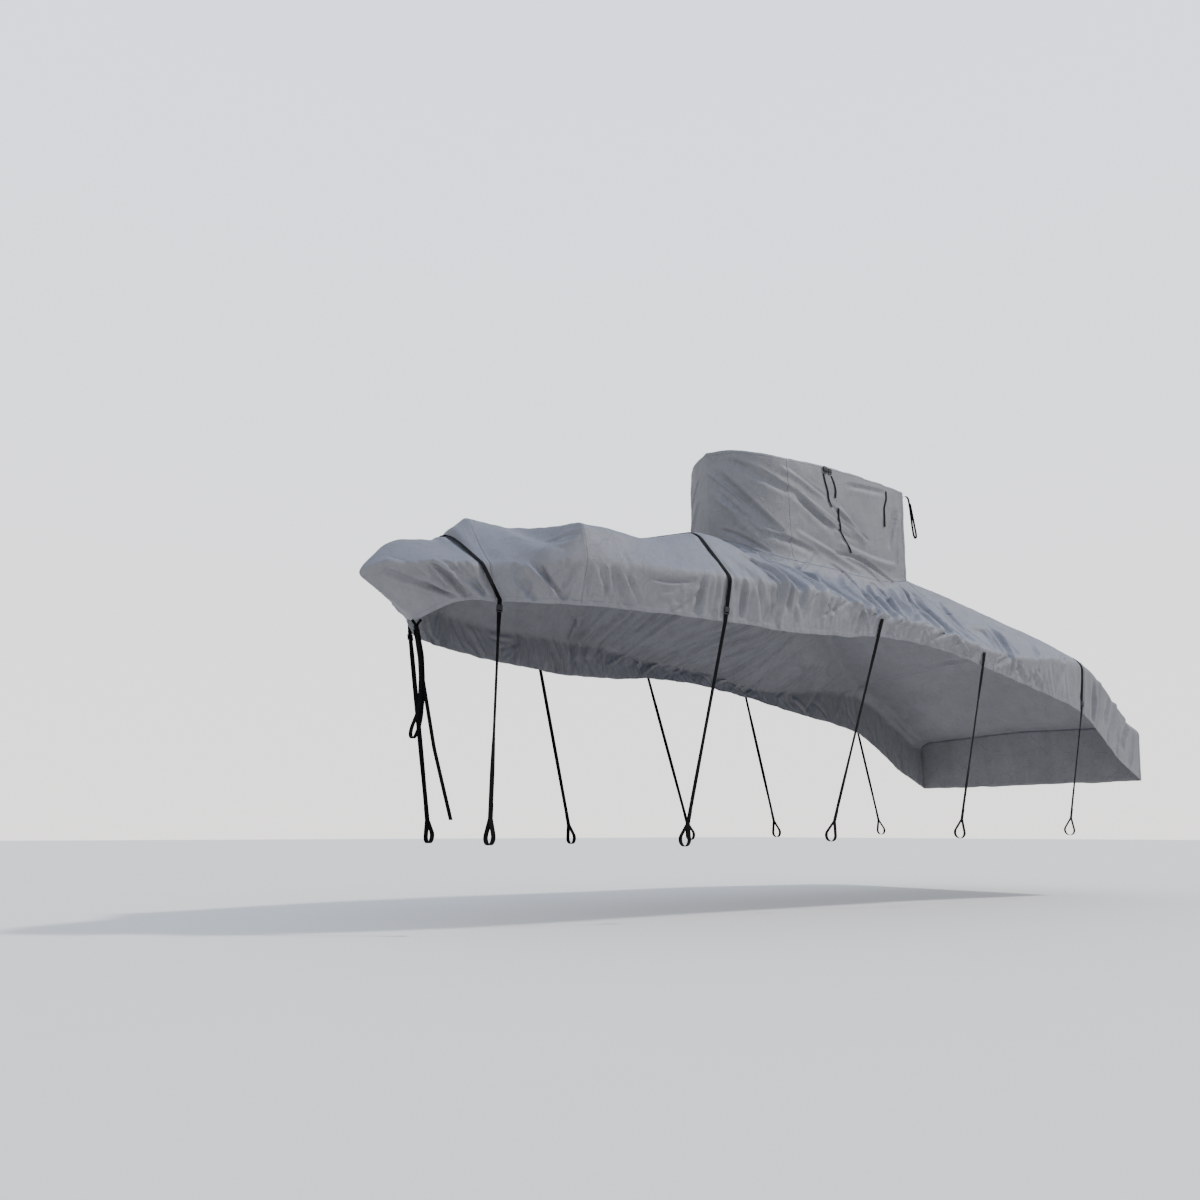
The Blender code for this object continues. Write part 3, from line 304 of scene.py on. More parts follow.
# each fold is a soft ridge, or a trough where its height is below nothing, from start past bend to end
foldColumns = ("startRib", "startKnot", "bendRib", "bendKnot", "endRib", "endKnot", "width", "height")
foldTable = np.array((  # ribs and knots in hundredths, width and height in millimetres
    (110, 95, 240, 70, 400, 10, 30, -14), (260, 95, 310, 60, 380, 5, 26, 12),
    (330, 95, 365, 53, 425, 5, 22, -12), (355, 95, 390, 50, 450, 5, 22, 12),
    (390, 95, 420, 50, 475, 5, 22, -10), (160, 130, 200, 90, 300, 40, 40, 10),
    (560, 95, 620, 45, 660, 5, 26, -12), (605, 95, 690, 50, 770, 5, 30, 14),
    (660, 90, 700, 55, 730, 25, 22, -10), (845, 90, 820, 53, 800, 10, 28, -12),
    (905, 95, 910, 62, 915, 30, 22, -11), (925, 85, 945, 53, 965, 15, 24, 12),
    (955, 95, 965, 65, 975, 35, 26, 10), (980, 85, 1005, 48, 1025, 8, 26, -13),
    (1050, 78, 1095, 68, 1165, 80, 20, -8), (1080, 42, 1125, 55, 1170, 68, 22, 9),
    (1180, 92, 1175, 45, 1170, 3, 28, -13), (1230, 90, 1235, 50, 1230, 10, 26, 10),
    (1320, 92, 1325, 55, 1325, 15, 26, -12), (1370, 85, 1390, 50, 1400, 10, 28, 12),
    (1530, 240, 1520, 140, 1505, 40, 45, 24), (1580, 230, 1560, 130, 1540, 50, 32, -14),
    (1660, 260, 1620, 150, 1590, 60, 42, -26), (1695, 270, 1660, 160, 1630, 50, 30, 14),
    (1760, 262, 1790, 255, 1960, 290, 30, 12), (1800, 290, 1720, 180, 1670, 50, 36, 20),
    (1860, 280, 1780, 180, 1720, 60, 30, -16), (1990, 290, 1880, 190, 1790, 60, 36, -22),
    (2060, 285, 1960, 190, 1840, 50, 30, 16), (2150, 290, 2020, 190, 1890, 40, 34, 20),
    (2190, 280, 2080, 190, 1960, 70, 28, -14), (2220, 290, 2120, 190, 2020, 80, 34, -22),
    (2270, 280, 2170, 190, 2070, 80, 28, 16), (2310, 280, 2220, 190, 2110, 70, 38, 22),
    (2340, 260, 2270, 180, 2160, 70, 28, -14), (2350, 260, 2310, 180, 2195, 58, 34, -20),
    (2430, 240, 2360, 140, 2290, 40, 36, 18), (2420, 170, 2510, 200, 2420, 110, 36, -14),
    (2520, 210, 2500, 130, 2410, 50, 36, -16), (2530, 195, 2515, 125, 2470, 40, 32, 14),
    (2480, 75, 2505, 50, 2530, 12, 28, -12), (2565, 60, 2590, 38, 2610, 12, 28, 10),
    (2630, 180, 2600, 100, 2520, 15, 34, 12), (2720, 160, 2700, 100, 2650, 30, 30, -10),
    (2875, 90, 2870, 50, 2855, 5, 30, -14), (2920, 110, 2905, 60, 2890, 10, 28, 12),
    (2960, 90, 2945, 55, 2930, 30, 30, -12), (3010, 120, 2990, 70, 2970, 15, 30, 12),
    (3100, 120, 3060, 80, 3020, 15, 34, -14), (3150, 100, 3120, 60, 3090, 10, 30, 12),
    (1740, 375, 1860, 345, 1975, 325, 36, -14), (1710, 355, 1800, 330, 1900, 314, 34, 10),
    (1780, 388, 1940, 372, 2015, 366, 30, -12), (2015, 368, 2085, 350, 2145, 338, 34, -14),
    (1980, 388, 2035, 383, 2115, 368, 28, 9), (2165, 362, 2205, 348, 2250, 335, 34, 10),
    (2200, 386, 2265, 388, 2335, 390, 24, -8), (2370, 375, 2350, 353, 2335, 335, 36, -14),
    (2385, 370, 2375, 345, 2370, 320, 26, 10), (1910, 320, 1995, 324, 2080, 312, 30, -10),
    (2160, 328, 2260, 320, 2360, 316, 34, 10), (2020, 330, 2120, 318, 2220, 306, 30, 10),
    (1705, 373, 1795, 350, 1945, 328, 12, -8), (1705, 378, 1770, 356, 1935, 330, 13, 7),
    (1800, 388, 1920, 382, 2020, 368, 14, -7), (2030, 385, 2102, 372, 2125, 370, 12, -7),
    (2035, 362, 2088, 347, 2210, 335, 13, -9), (2045, 368, 2107, 352, 2220, 340, 12, 6),
    (2135, 365, 2190, 349, 2265, 338, 14, -7), (1740, 345, 1827, 331, 1905, 325, 18, 6),
    (1750, 312, 1862, 312, 1925, 303, 16, -8), (2120, 305, 2192, 304, 2155, 248, 14, -12),
    (2155, 248, 2020, 145, 1925, 33, 14, -12), (2140, 318, 2262, 324, 2355, 293, 16, -10),
    (2170, 318, 2283, 318, 2305, 278, 14, 8), (2220, 285, 2343, 317, 2015, 80, 12, -9),
    (2245, 278, 2205, 207, 2045, 80, 13, 9), (2340, 290, 2402, 283, 2115, 103, 13, -10),
    (1470, 180, 1480, 140, 1490, 60, 15, -12), (1850, 285, 1475, 143, 1520, 70, 16, 9),
    (2075, 315, 1715, 153, 1675, 50, 18, 10), (1610, 48, 1630, 79, 1670, 95, 11, -7),
    (1675, 45, 1730, 59, 1825, 110, 12, -7), (1825, 103, 1940, 97, 1895, 23, 14, 10),
    (2165, 262, 2022, 145, 1950, 48, 14, 10), (2235, 248, 2097, 145, 2050, 62, 14, -9),
    (2345, 278, 2358, 276, 2180, 30, 14, -11), (2365, 275, 2418, 283, 2200, 50, 15, 10),
    (2350, 200, 2318, 175, 2255, 50, 13, -10), (2240, 100, 2285, 87, 2310, 5, 13, 9),
    (2490, 195, 2473, 141, 2405, 75, 14, -10), (2475, 133, 2457, 94, 2470, 10, 14, -9),
    (2150, 75, 2175, 32, 2180, 0, 11, 8), (2875, 65, 2882, 41, 2860, 5, 12, -8),
    (2970, 53, 2940, 9, 2950, 0, 13, -8), (3030, 70, 3003, 31, 3005, 0, 14, 8),
    (310, 98, 343, 86, 385, 10, 10, -10), (325, 103, 362, 90, 410, 8, 10, 8),
    (350, 105, 388, 81, 435, 5, 10, -9), (375, 98, 407, 71, 450, 8, 10, 7),
    (285, 68, 310, 47, 375, 10, 11, 8), (265, 53, 297, 37, 360, 5, 10, -8),
    (410, 107, 435, 79, 460, 8, 10, -7), (575, 68, 595, 33, 675, 5, 13, -8),
    (615, 90, 683, 56, 780, 10, 14, 9), (670, 88, 715, 41, 820, 10, 12, -8),
    (790, 18, 830, 48, 850, 85, 13, 8), (905, 93, 918, 64, 920, 18, 12, 7),
    (945, 93, 980, 55, 955, 10, 12, -8), (1005, 83, 1027, 57, 1040, 15, 13, -8),
    (1055, 73, 1080, 54, 1165, 80, 12, 7), (1080, 48, 1125, 49, 1170, 75, 10, -6),
    (1095, 3, 1155, 37, 1175, 62, 12, -7), (1180, 90, 1180, 50, 1160, 10, 13, -8),
    (1210, 93, 1210, 55, 1210, 18, 10, 7), (1320, 98, 1340, 56, 1320, 10, 12, -9),
    (1435, 93, 1457, 64, 1450, 18, 12, 7), (780, 225, 840, 223, 880, 178, 12, -6),
    (710, 205, 787, 218, 855, 168, 10, 5), (2560, 238, 2570, 202, 2600, 198, 12, 6),
    (140, 83, 248, 55, 345, 20, 14, -10), (190, 88, 273, 62, 365, 20, 14, 9),
    (235, 62, 297, 33, 370, 12, 13, -9), (300, 93, 312, 49, 375, 8, 13, -10),
    (315, 95, 355, 55, 395, 8, 13, -10), (350, 85, 377, 41, 415, 5, 13, -9),
    (380, 85, 412, 46, 435, 3, 13, 9), (225, 80, 292, 63, 350, 33, 14, 8),
    (1420, 170, 1535, 183, 1490, 55, 22, -14), (1340, 148, 1393, 123, 1435, 55, 26, 10),
    (2440, 262, 2373, 174, 2295, 23, 18, -10), (1860, 230, 1760, 140, 1700, 55, 30, 16),
    (1920, 230, 1840, 150, 1760, 72, 30, -12),
)) / (100, 100, 100, 100, 100, 100, 1000, 1000)
foldSpread = dict(  # places across a fold are counted in its widths
    steps=14, starboardShift=0.55, starboardShare=0.8, deeper=1.5, narrowest=0.015,
    fade=0.45, end=0.15, endFade=0.3, reach=3.2, crest=1.4, trough=0.30, troughAt=1.7,
    crease=0.55, creaseAt=1.15, creaseWidth=0.42,
)


def foldLines():
    lines = []
    t = np.linspace(0, 1, foldSpread["steps"] + 1)
    for values in foldTable:
        fold = dict(zip(foldColumns, values))
        weights = ((1 - t)**2, 2 * t * (1 - t), t**2)
        ribs = sum(w * fold[k] for w, k in zip(weights, ("startRib", "bendRib", "endRib")))
        knots = sum(w * fold[k] for w, k in zip(weights, ("startKnot", "bendKnot", "endKnot")))
        height = fold["height"] * foldSpread["deeper"]
        width = max(fold["width"], foldSpread["narrowest"])
        lines.append((surfacePoints(ribs, knots, -1), width, height))
        moved = np.minimum(ribs + foldSpread["starboardShift"], seams["transom"])
        lines.append((surfacePoints(moved, knots, 1), width, height * foldSpread["starboardShare"]))
    return lines + gatherLines()


gathers = dict(
    seed=11, afts=(0.72, 6.72), pitch=0.040, start=0.02, rise=(0.35, 1.35), lean=0.7, bow=0.5,
    crowd=((0.7, 0.35), (1.6, 0.5), (1.95, 0.95), (5.0, 0.95), (5.6, 0.5), (6.8, 0.6)),
    width=(0.010, 0.020), height=(0.0022, 0.0072), troughs=0.45,
)


def gatherLines():  # short uneven folds up from the drawn hem
    chance = np.random.default_rng(gathers["seed"])
    lines = []
    t = np.linspace(0, 1, 11)
    low, high = gathers["rise"]
    for side in hands.values():
        for aft in np.arange(*gathers["afts"], gathers["pitch"]):
            aft += chance.uniform(-0.5, 0.5) * gathers["pitch"]
            size, lean, rise, bend, trough = chance.uniform(size=5)
            if chance.uniform() > np.interp(aft, *zip(*gathers["crowd"])):
                continue
            rib = np.interp(aft, ribTable[:, 0], np.arange(len(ribTable)))
            ribs = rib + gathers["lean"] * (lean - 0.5) * t
            ribs = ribs + gathers["bow"] * (bend - 0.5) * t * (1 - t)
            knots = gathers["start"] + (low + (high - low) * rise**2 - gathers["start"]) * t
            width, height = (np.interp(size, (0, 1), gathers[key]) for key in ("width", "height"))
            height *= -1 if trough < gathers["troughs"] else 1
            ribs = np.clip(ribs, 0, seams["transom"])
            lines.append((surfacePoints(ribs, knots, side), width, height))
    return lines


# a crest with a hollow on each side and a crease on one
def addFold(lift, points, normals, line, width, height):
    spread = foldSpread
    reach = spread["reach"] * width
    near = ((points > line.min(axis=0) - reach) & (points < line.max(axis=0) + reach)).all(axis=1)
    near = np.nonzero(near)[0]
    if not len(near):
        return
    steps = np.diff(line, axis=0)
    away = points[near][:, None] - line[None, :-1]
    part = np.clip((away * steps).sum(axis=2) / np.maximum((steps**2).sum(axis=1), 1e-12), 0, 1)
    distance = np.linalg.norm(away - part[..., None] * steps, axis=2)
    nearest, rows = distance.argmin(axis=1), np.arange(len(near))
    along = (nearest + part[rows, nearest]) / len(steps)
    hand = (np.cross(steps[nearest], away[rows, nearest]) * normals[near]).sum(axis=1)
    d = distance[rows, nearest] / width
    shape = np.exp(-d**spread["crest"]) - spread["trough"] * np.exp(-(d - spread["troughAt"])**2)
    crease = np.exp(-((d - spread["creaseAt"]) / spread["creaseWidth"])**2)
    shape -= np.where(hand > 0, spread["crease"] * crease, 0)
    least = spread["end"]
    ends = np.sin(np.pi * np.clip(along, 0, 1))**spread["fade"] * (1 - least) + least
    tip = np.where(along[:, None] < 0.5, line[0], line[-1])
    over = np.linalg.norm(points[near] - tip, axis=1) / width
    past = least * np.exp(-over**2 * spread["endFade"])
    lift[near] += height * shape * np.where((along <= 0) | (along >= 1), past, ends)


def noiseAt(points, scale, seed):
    shift = Vector((seed * 3.7, seed * 1.9, seed * 5.3))
    return np.array([noise.noise(Vector(p) * scale + shift) for p in points])


crumple = dict(  # each ridge by its size, its height, its stretch upwards, its level and its sharpness
    coarse=dict(scale=4.2, height=0.0060, up=0.8, level=0.35, sharp=1.6, seed=1),
    fine=dict(scale=12.0, height=0.0030, up=0.55, level=0.30, sharp=1.4, seed=2),
)


def wrinkleLift(points):  # a light crumple with soft ridges all over
    lift = np.zeros(len(points))
    for ridge in crumple.values():
        height = np.abs(noiseAt(points * (1, 1, ridge["up"]), ridge["scale"], ridge["seed"]))
        lift += ridge["height"] * (ridge["level"] - ridge["sharp"] * height)
    return lift


strapGroove = dict(width=0.024, depth=0.006, crestDepth=0.020, crestTurn=22, bulge=0.40, bulgeAt=1.9)


def strapPress(points):  # the cloth pressed in under each over strap, with a bulge along both sides
    lift = np.zeros(len(points))
    away = points[:, 1:] - (0, overTurns["middleUp"])
    degrees = np.degrees(np.arctan2(away[:, 1], -away[:, 0]))
    degrees = np.where(degrees < -90, degrees + 360, degrees)
    crest = np.exp(-((degrees - 90) / strapGroove["crestTurn"])**2)
    depth = strapGroove["depth"] + (strapGroove["crestDepth"] - strapGroove["depth"]) * crest
    for values in overTable:
        row = dict(zip(overColumns, values))
        d = (points[:, 0] - strapAft(row, degrees)) / strapGroove["width"]
        bulge = strapGroove["bulge"] * np.exp(-(np.abs(d) - strapGroove["bulgeAt"])**2)
        lift -= depth * (np.exp(-d**2) - bulge)
    return lift


def gridNormals(grid):
    along = np.gradient(grid, axis=0)
    up = np.gradient(grid, axis=1)
    normals = np.cross(along, up)
    size = np.linalg.norm(normals, axis=2, keepdims=True)
    return normals / np.maximum(size, 1e-12), size[..., 0]


def knotsOf(name, grid):  # how far up from the hem each row lies, in knots
    columns, rows = grid.shape[:2]
    if name.startswith("tower"):
        return np.full((columns, rows), 3.5)
    counts = np.linspace(0, 1, rows)
    if name != "transom":
        counts = np.interp(np.arange(rows), (0, skirt, skirt + flank, deckRows), (0, 1, 2, 3))
    if rows > deckRows + 1:
        counts = np.minimum(counts, counts[::-1])
    return np.tile(counts, (columns, 1))


def sharedEdges(grids):  # the places where edges of panels meet
    shared = {}
    for name, grid in grids.items():
        edge = np.ones(grid.shape[:2], bool)
        edge[1:-1, 1:-1] = False
        for i, j in zip(*np.nonzero(edge)):
            shared.setdefault(tuple(np.round(grid[i, j], 4)), []).append((name, i, j))
    return [places for places in shared.values() if len(places) > 1]


hemWave = dict(scale=8.0, height=0.008, knots=0.35, seed=6)


def drapeGrids(plain):
    normals, knots, grids = {}, {}, {}
    for name, grid in plain.items():
        n, size = gridNormals(grid)
        outwards = ((n * (grid - inside)).sum(axis=2) * size).sum()
        normals[name], knots[name] = -n if outwards < 0 else n, knotsOf(name, grid)
    for places in sharedEdges(plain):  # one normal where panels meet, so that the seams stay shut
        mean = sum(normals[name][i, j] for name, i, j in places)
        knot = min(knots[name][i, j] for name, i, j in places)
        for name, i, j in places:
            normals[name][i, j] = mean / max(np.linalg.norm(mean), 1e-6)
            knots[name][i, j] = knot
    lines = foldLines()
    for name, grid in plain.items():
        points, out = grid.reshape(-1, 3), normals[name].reshape(-1, 3)
        lift = wrinkleLift(points)
        if "deck" in name or name in ("bow_cap", "stern_drop"):
            lift += strapPress(points)
        for line, width, height in lines:
            addFold(lift, points, out, line, width, height)
        moved = points + out * lift[:, None]
        low = np.clip(1 - knots[name].reshape(-1) / hemWave["knots"], 0, 1)
        wave = noiseAt(points * (1, 1, 0), hemWave["scale"], hemWave["seed"])
        moved[:, 2] += hemWave["height"] * low * wave
        grids[name] = moved.reshape(grid.shape)
    print("drape done")
    return grids


def metresAlong(grid):  # cloth coordinates of a grid in metres
    across = np.linalg.norm(np.diff(grid, axis=0), axis=2).mean(axis=1)
    up = np.cumsum(np.linalg.norm(np.diff(grid, axis=1), axis=2), axis=1)
    v = np.pad(up, ((0, 0), (1, 0)))
    u = np.concatenate(([0.0], np.cumsum(across)))[:, None]
    return np.stack((np.broadcast_to(u, v.shape), v), axis=2)


def linked(name, data):
    made = bpy.data.objects.new(name, data)
    bpy.context.scene.collection.objects.link(made)
    return made


def meshObject(bm, name, material):
    mesh = bpy.data.meshes.new(name)
    bm.to_mesh(mesh)
    bm.free()
    mesh.materials.append(material)
    mesh.shade_smooth()
    return linked(name, mesh)


def finishPiece(bm, name, material, node=None):
    piece = meshObject(bm, name, material)
    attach(piece, rideBody)
    if node:
        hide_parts(node)
    return piece


def clothPiece(name, grid, material, thickness, node=None):  # a grid of cloth, placed point by point
    columns, rows = grid.shape[0] - 1, grid.shape[1] - 1
    place, cut = grid - rowOrigin, metresAlong(grid)
    bm = bmesh.new()
    uv = bm.loops.layers.uv.new("cloth")
    made = bmesh.ops.create_grid(bm, x_segments=columns, y_segments=rows, size=0.5)["verts"]
    for i, vert in enumerate(made):
        vert.co = place[i % (columns + 1), i // (columns + 1)]
    bm.verts.index_update()
    for face in bm.faces:
        for loop in face.loops:
            i = loop.vert.index
            loop[uv].uv = cut[i % (columns + 1), i // (columns + 1)]
    bmesh.ops.remove_doubles(bm, verts=bm.verts[:], dist=2e-5)
    bmesh.ops.dissolve_degenerate(bm, dist=1e-5, edges=bm.edges[:])
    bmesh.ops.recalc_face_normals(bm, faces=bm.faces[:])
    middle = Vector(inside - rowOrigin)
    if sum(face.normal.dot(face.calc_center_median() - middle) for face in list(bm.faces)[::11]) < 0:
        bmesh.ops.reverse_faces(bm, faces=bm.faces[:])
    piece = finishPiece(bm, name, material, node)
    solid = piece.modifiers.new("thickness", "SOLIDIFY")
    solid.thickness = thickness
    solid.offset = -1
    solid.use_even_offset = False
    return piece


def makePanels(grids, material):
    panels = {}
    for name, grid in grids.items():
        panels[name] = clothPiece("cloth_" + name, grid, material, cover["thickness"], name)
    print("panels", len(panels))
    return panels


# the lap of each seam and the folded hem, lying on the edge of a panel
bandKinds = dict(seam=dict(width=0.024, rise=0.0016), hem=dict(width=0.030, rise=0.0018))
bandShape = dict(
    shares=(0.0, 0.06, 0.16, 0.33, 0.5, 0.67, 0.84, 0.94, 1.0),
    heights=(0.0, 0.75, 1.0, 0.95, 1.0, 0.95, 1.0, 0.75, 0.0), off=0.0001, thickness=0.0005,
)
bandTable = dict(  # the edges of each panel that carry one
    fore_deck=dict(seam="first", hem="low high"), mid_deck=dict(seam="first", hem="low high"),
    aft_deck=dict(seam="first", hem="low high"), side_port=dict(seam="first", hem="low"),
    side_starboard=dict(seam="first", hem="low"), tower_front=dict(seam="low high"),
    tower_port=dict(seam="low first high last"), tower_starboard=dict(seam="low first high last"),
    tower_rear=dict(seam="high low"), stern_drop=dict(seam="first last", hem="low high"),
    bow_cap=dict(hem="low"), transom=dict(hem="low"),
)


def fromEdge(grid, edge):  # the same grid with its first axis along the edge and its second inwards
    if edge == "first":
        return grid.transpose(1, 0, 2)
    if edge == "last":
        return grid[::-1].transpose(1, 0, 2)
    return grid if edge == "low" else grid[:, ::-1]


def bandGrid(grid, edge, band):
    rows = fromEdge(grid, edge)[:, :40]
    normals = gridNormals(rows)[0]
    if ((rows - inside) * normals).sum() < 0:
        normals = -normals
    heights = np.array(bandShape["heights"]) * band["rise"] + bandShape["off"]
    made = []
    for row, out in zip(rows, normals):
        reach = reachAlong(row)
        at = np.minimum(np.array(bandShape["shares"]) * band["width"], reach[-1])
        line, up = (
            np.stack([np.interp(at, reach, part) for part in parts.T], axis=1) for parts in (row, out)
        )
        made.append(line + up * heights[:, None])
    return np.array(made)


def makeBands(grids, material):
    bands, bandGrids = {}, []
    for panel, kinds in bandTable.items():
        for kind, edges in kinds.items():
            for edge in edges.split():
                grid = bandGrid(grids[panel], edge, bandKinds[kind])
                piece = clothPiece(f"{kind}_{panel}_{edge}", grid, material, bandShape["thickness"])
                bandGrids.append(grid)
                bands.setdefault(panel, []).append(piece)
    print("bands", len(bandGrids))
    return bands, bandGrids


def surfaceTree(grids):
    points, faces, start = [], [], 0
    for grid in grids:
        columns, rows = grid.shape[:2]
        index = np.arange(columns * rows).reshape(columns, rows) + start
        corners = (index[:-1, :-1], index[1:, :-1], index[1:, 1:], index[:-1, 1:])
        faces += np.stack(corners, axis=-1).reshape(-1, 4).tolist()
        points += [Vector(p) for p in grid.reshape(-1, 3)]
        start += columns * rows
    return BVHTree.FromPolygons(points, faces)


def resample(path, step):
    path = np.asarray(path, float)
    lengths = np.linalg.norm(np.diff(path, axis=0), axis=1)
    made = [path[0]]
    for a, b, length in zip(path, path[1:], lengths):
        count = max(1, int(math.ceil(length / step)))
        made += [a + (b - a) * k / count for k in range(1, count + 1)]
    return np.array(made)


def smoothPath(path, rounds):  # softens the corners and keeps the ends
    path = np.array(path, float)
    for _ in range(rounds):
        path[1:-1] = 0.25 * path[:-2] + 0.5 * path[1:-1] + 0.25 * path[2:]
    return path


webProfile = (  # across and thickness shares round a flat web with rounded selvedges
    (-1.0, 0.0), (-0.985, 0.62), (-0.93, 0.95), (-0.6, 0.9), (-0.2, 1.0),
    (0.2, 1.0), (0.6, 0.9), (0.93, 0.95), (0.985, 0.62), (1.0, 0.0),
    (0.985, -0.62), (0.93, -0.95), (0.0, -0.95), (-0.93, -0.95), (-0.985, -0.62),
)


def addWeb(bm, path, across, width, thickness, turns=None):
    path, across = np.asarray(path, float), unit(np.asarray(across, float))
    steps = unit(np.diff(path, axis=0))
    tangent = unit(np.vstack((steps[:1], steps)) + np.vstack((steps, steps[-1:])))
    out = unit(np.cross(tangent, across))
    turns = np.zeros(len(path)) if turns is None else turns
    uv = bm.loops.layers.uv.verify()
    profile = np.array(webProfile) * (width / 2, thickness / 2)
    count = len(profile)
    reach, girth = reachAlong(path), reachAlong(profile)
    girth = np.append(girth, girth[-1] + thickness / 2)
    rings = []
    for point, off, turn in zip(path, out, turns):
        a = across * math.cos(turn) + off * math.sin(turn)
        b = off * math.cos(turn) - across * math.sin(turn)
        if rings:
            ring = [bm.verts.new() for _ in range(count)]
        else:
            ring = bmesh.ops.create_circle(bm, segments=count, radius=1)["verts"]
        for vert, (u, v) in zip(ring, profile):
            vert.co = point + a * u + b * v - rowOrigin
        rings.append(ring)
    for i in range(len(rings) - 1):
        for k in range(count):
            after = (k + 1) % count
            face = bm.faces.new((rings[i][k], rings[i][after], rings[i + 1][after], rings[i + 1][k]))
            places = ((i, k), (i, k + 1), (i + 1, k + 1), (i + 1, k))
            for loop, (row, column) in zip(face.loops, places):
                loop[uv].uv = (reach[row], girth[column])
    bm.faces.new(rings[0][::-1])
    bm.faces.new(rings[-1])


def webPiece(node, path, across, tape, material, turns=None):
    bm = bmesh.new()
    bm.loops.layers.uv.new("cloth")
    addWeb(bm, path, across, tape["width"], tape["thickness"], turns)
    bmesh.ops.recalc_face_normals(bm, faces=bm.faces[:])
    return finishPiece(bm, "web_" + node, material, node)


def castReach(tree, base, ray, far, shifts):  # how far out from base the cloth reaches under the rays
    base, ray = np.array(base, float), np.array(ray, float)
    reach = 0.0
    for shift in shifts:
        hit = tree.ray_cast(Vector(base + shift + ray * far), Vector(-ray), far)[0]
        if hit is not None:
            reach = max(reach, float(np.dot(np.array(hit) - base, ray)))
    return reach


def sideShifts(shifts, rises):
    return [(shift, 0, rise) for shift in shifts for rise in rises]


strap = dict(
    width=0.030, thickness=0.002, clearance=0.0006, flatness=0.0003, step=0.012, sewn=0.20,
    loopRound=0.040, loopReach=0.100, loopLap=0.075, lapGap=0.0007, flatTop=0.04, flatLow=0.02,
)
strapShifts = [(share * strap["width"], 0, 0) for share in np.linspace(-0.52, 0.52, 7)]
strapTwist = dict(bow=31, mid=8, stern=10, fore=10, aft=14, course=((0, 0.12, 0.6, 0.8), (0, 1, 1, 0)))
sewnTable = (("fore", 3.200, 1.920, 0.740, 0.600), ("aft", 4.400, 1.820, 0.930, 0.620))


def turning(first, second):
    return first[0] * second[1] - first[1] * second[0]


def tautHull(samples, hand):
    hull = []
    for point in samples:
        while len(hull) > 1 and turning(hull[-1] - hull[-2], point - hull[-1]) * hand > 0:
            hull.pop()
        hull.append(point)
    kept, skipped = [hull[0]], []
    for point, after in zip(hull[1:], hull[2:]):
        skipped.append(point)
        chord = unit(after - kept[-1])
        if max(abs(turning(chord, skip - kept[-1])) for skip in skipped) > strap["flatness"]:
            kept.append(point)
            skipped = []
    return [*kept, hull[-1]]


def offLine(points, hand):  # the taut line moved off the cloth by half a strap and its clearance
    steps = unit(np.diff(points, axis=0))
    out = np.stack((-steps[:, 1], steps[:, 0]), axis=1) * hand
    before, after = np.vstack((out[:1], out)), np.vstack((out, out[-1:]))
    mitre = (before + after) / (1 + (before * after).sum(axis=1))[:, None]
    off = strap["clearance"] + strap["flatness"] + strap["thickness"] / 2
    return np.asarray(points) + mitre * off


def sectionLine(tree, row):  # taut from the port end over the cloth to the starboard end
    middle = overTurns["middleUp"]
    samples = []
    for degrees in np.arange(*overTurns["sweep"]):
        turn = math.radians(degrees)
        ray = np.array((-math.cos(turn), math.sin(turn)))
        base = (strapAft(row, degrees), 0, middle)
        reach = castReach(tree, base, (0, *ray), overTurns["far"], strapShifts)
        if reach > 0:
            samples.append(ray * reach + (0, middle))
    ends = [np.array((half, row["frameUp"])) for half in (-row["portHalf"], row["starboardHalf"])]
    line = offLine(tautHull([ends[0], *samples, ends[1]], 1), 1)
    path = [(row["frameAft"], *line[0])]
    for half, up in line[1:-1]:
        degrees = math.degrees(math.atan2(up - middle, -half))
        path.append((strapAft(row, degrees if degrees > -90 else degrees + 360), half, up))
    return np.array(path + [(row["frameAft"] + row["starboardShift"], *line[-1])])


def frameLoop(end, before):  # closed round the trailer frame and laid back along the strap
    end, before = np.asarray(end), np.asarray(before)
    down = unit(end - before)
    side = unit(np.cross((1.0, 0.0, 0.0), down))
    side = side if side[1] * end[1] > 0 else -side
    centre = end + down * strap["loopReach"]
    lean = math.asin(strap["loopRound"] / strap["loopReach"])
    turns = np.linspace(-math.pi / 2 - lean, math.pi / 2 + lean, 23)
    ring = [centre + strap["loopRound"] * (down * math.cos(t) + side * math.sin(t)) for t in turns]
    lap = end + side * (strap["thickness"] + strap["lapGap"])
    return ring + [lap, lap - down * strap["loopLap"]]


def placeOn(points, up):
    for low, high in zip(points, points[1:]):
        if low[2] <= up <= high[2]:
            share = (up - low[2]) / (high[2] - low[2])
            return low + share * (high - low), (high - low) / np.linalg.norm(high - low)
    raise ValueError("the strap never reaches that height")


def strapPiece(node, path, free, turn, material):  # its free run turns a little, flat at both ends
    path = resample(path, strap["step"])
    share = (free[0] - path[:, 2]) / (free[0] - free[1])
    turns = math.radians(turn) * np.interp(share, *strapTwist["course"])
    webPiece(node, path, (1, 0, 0), strap, material, turns)


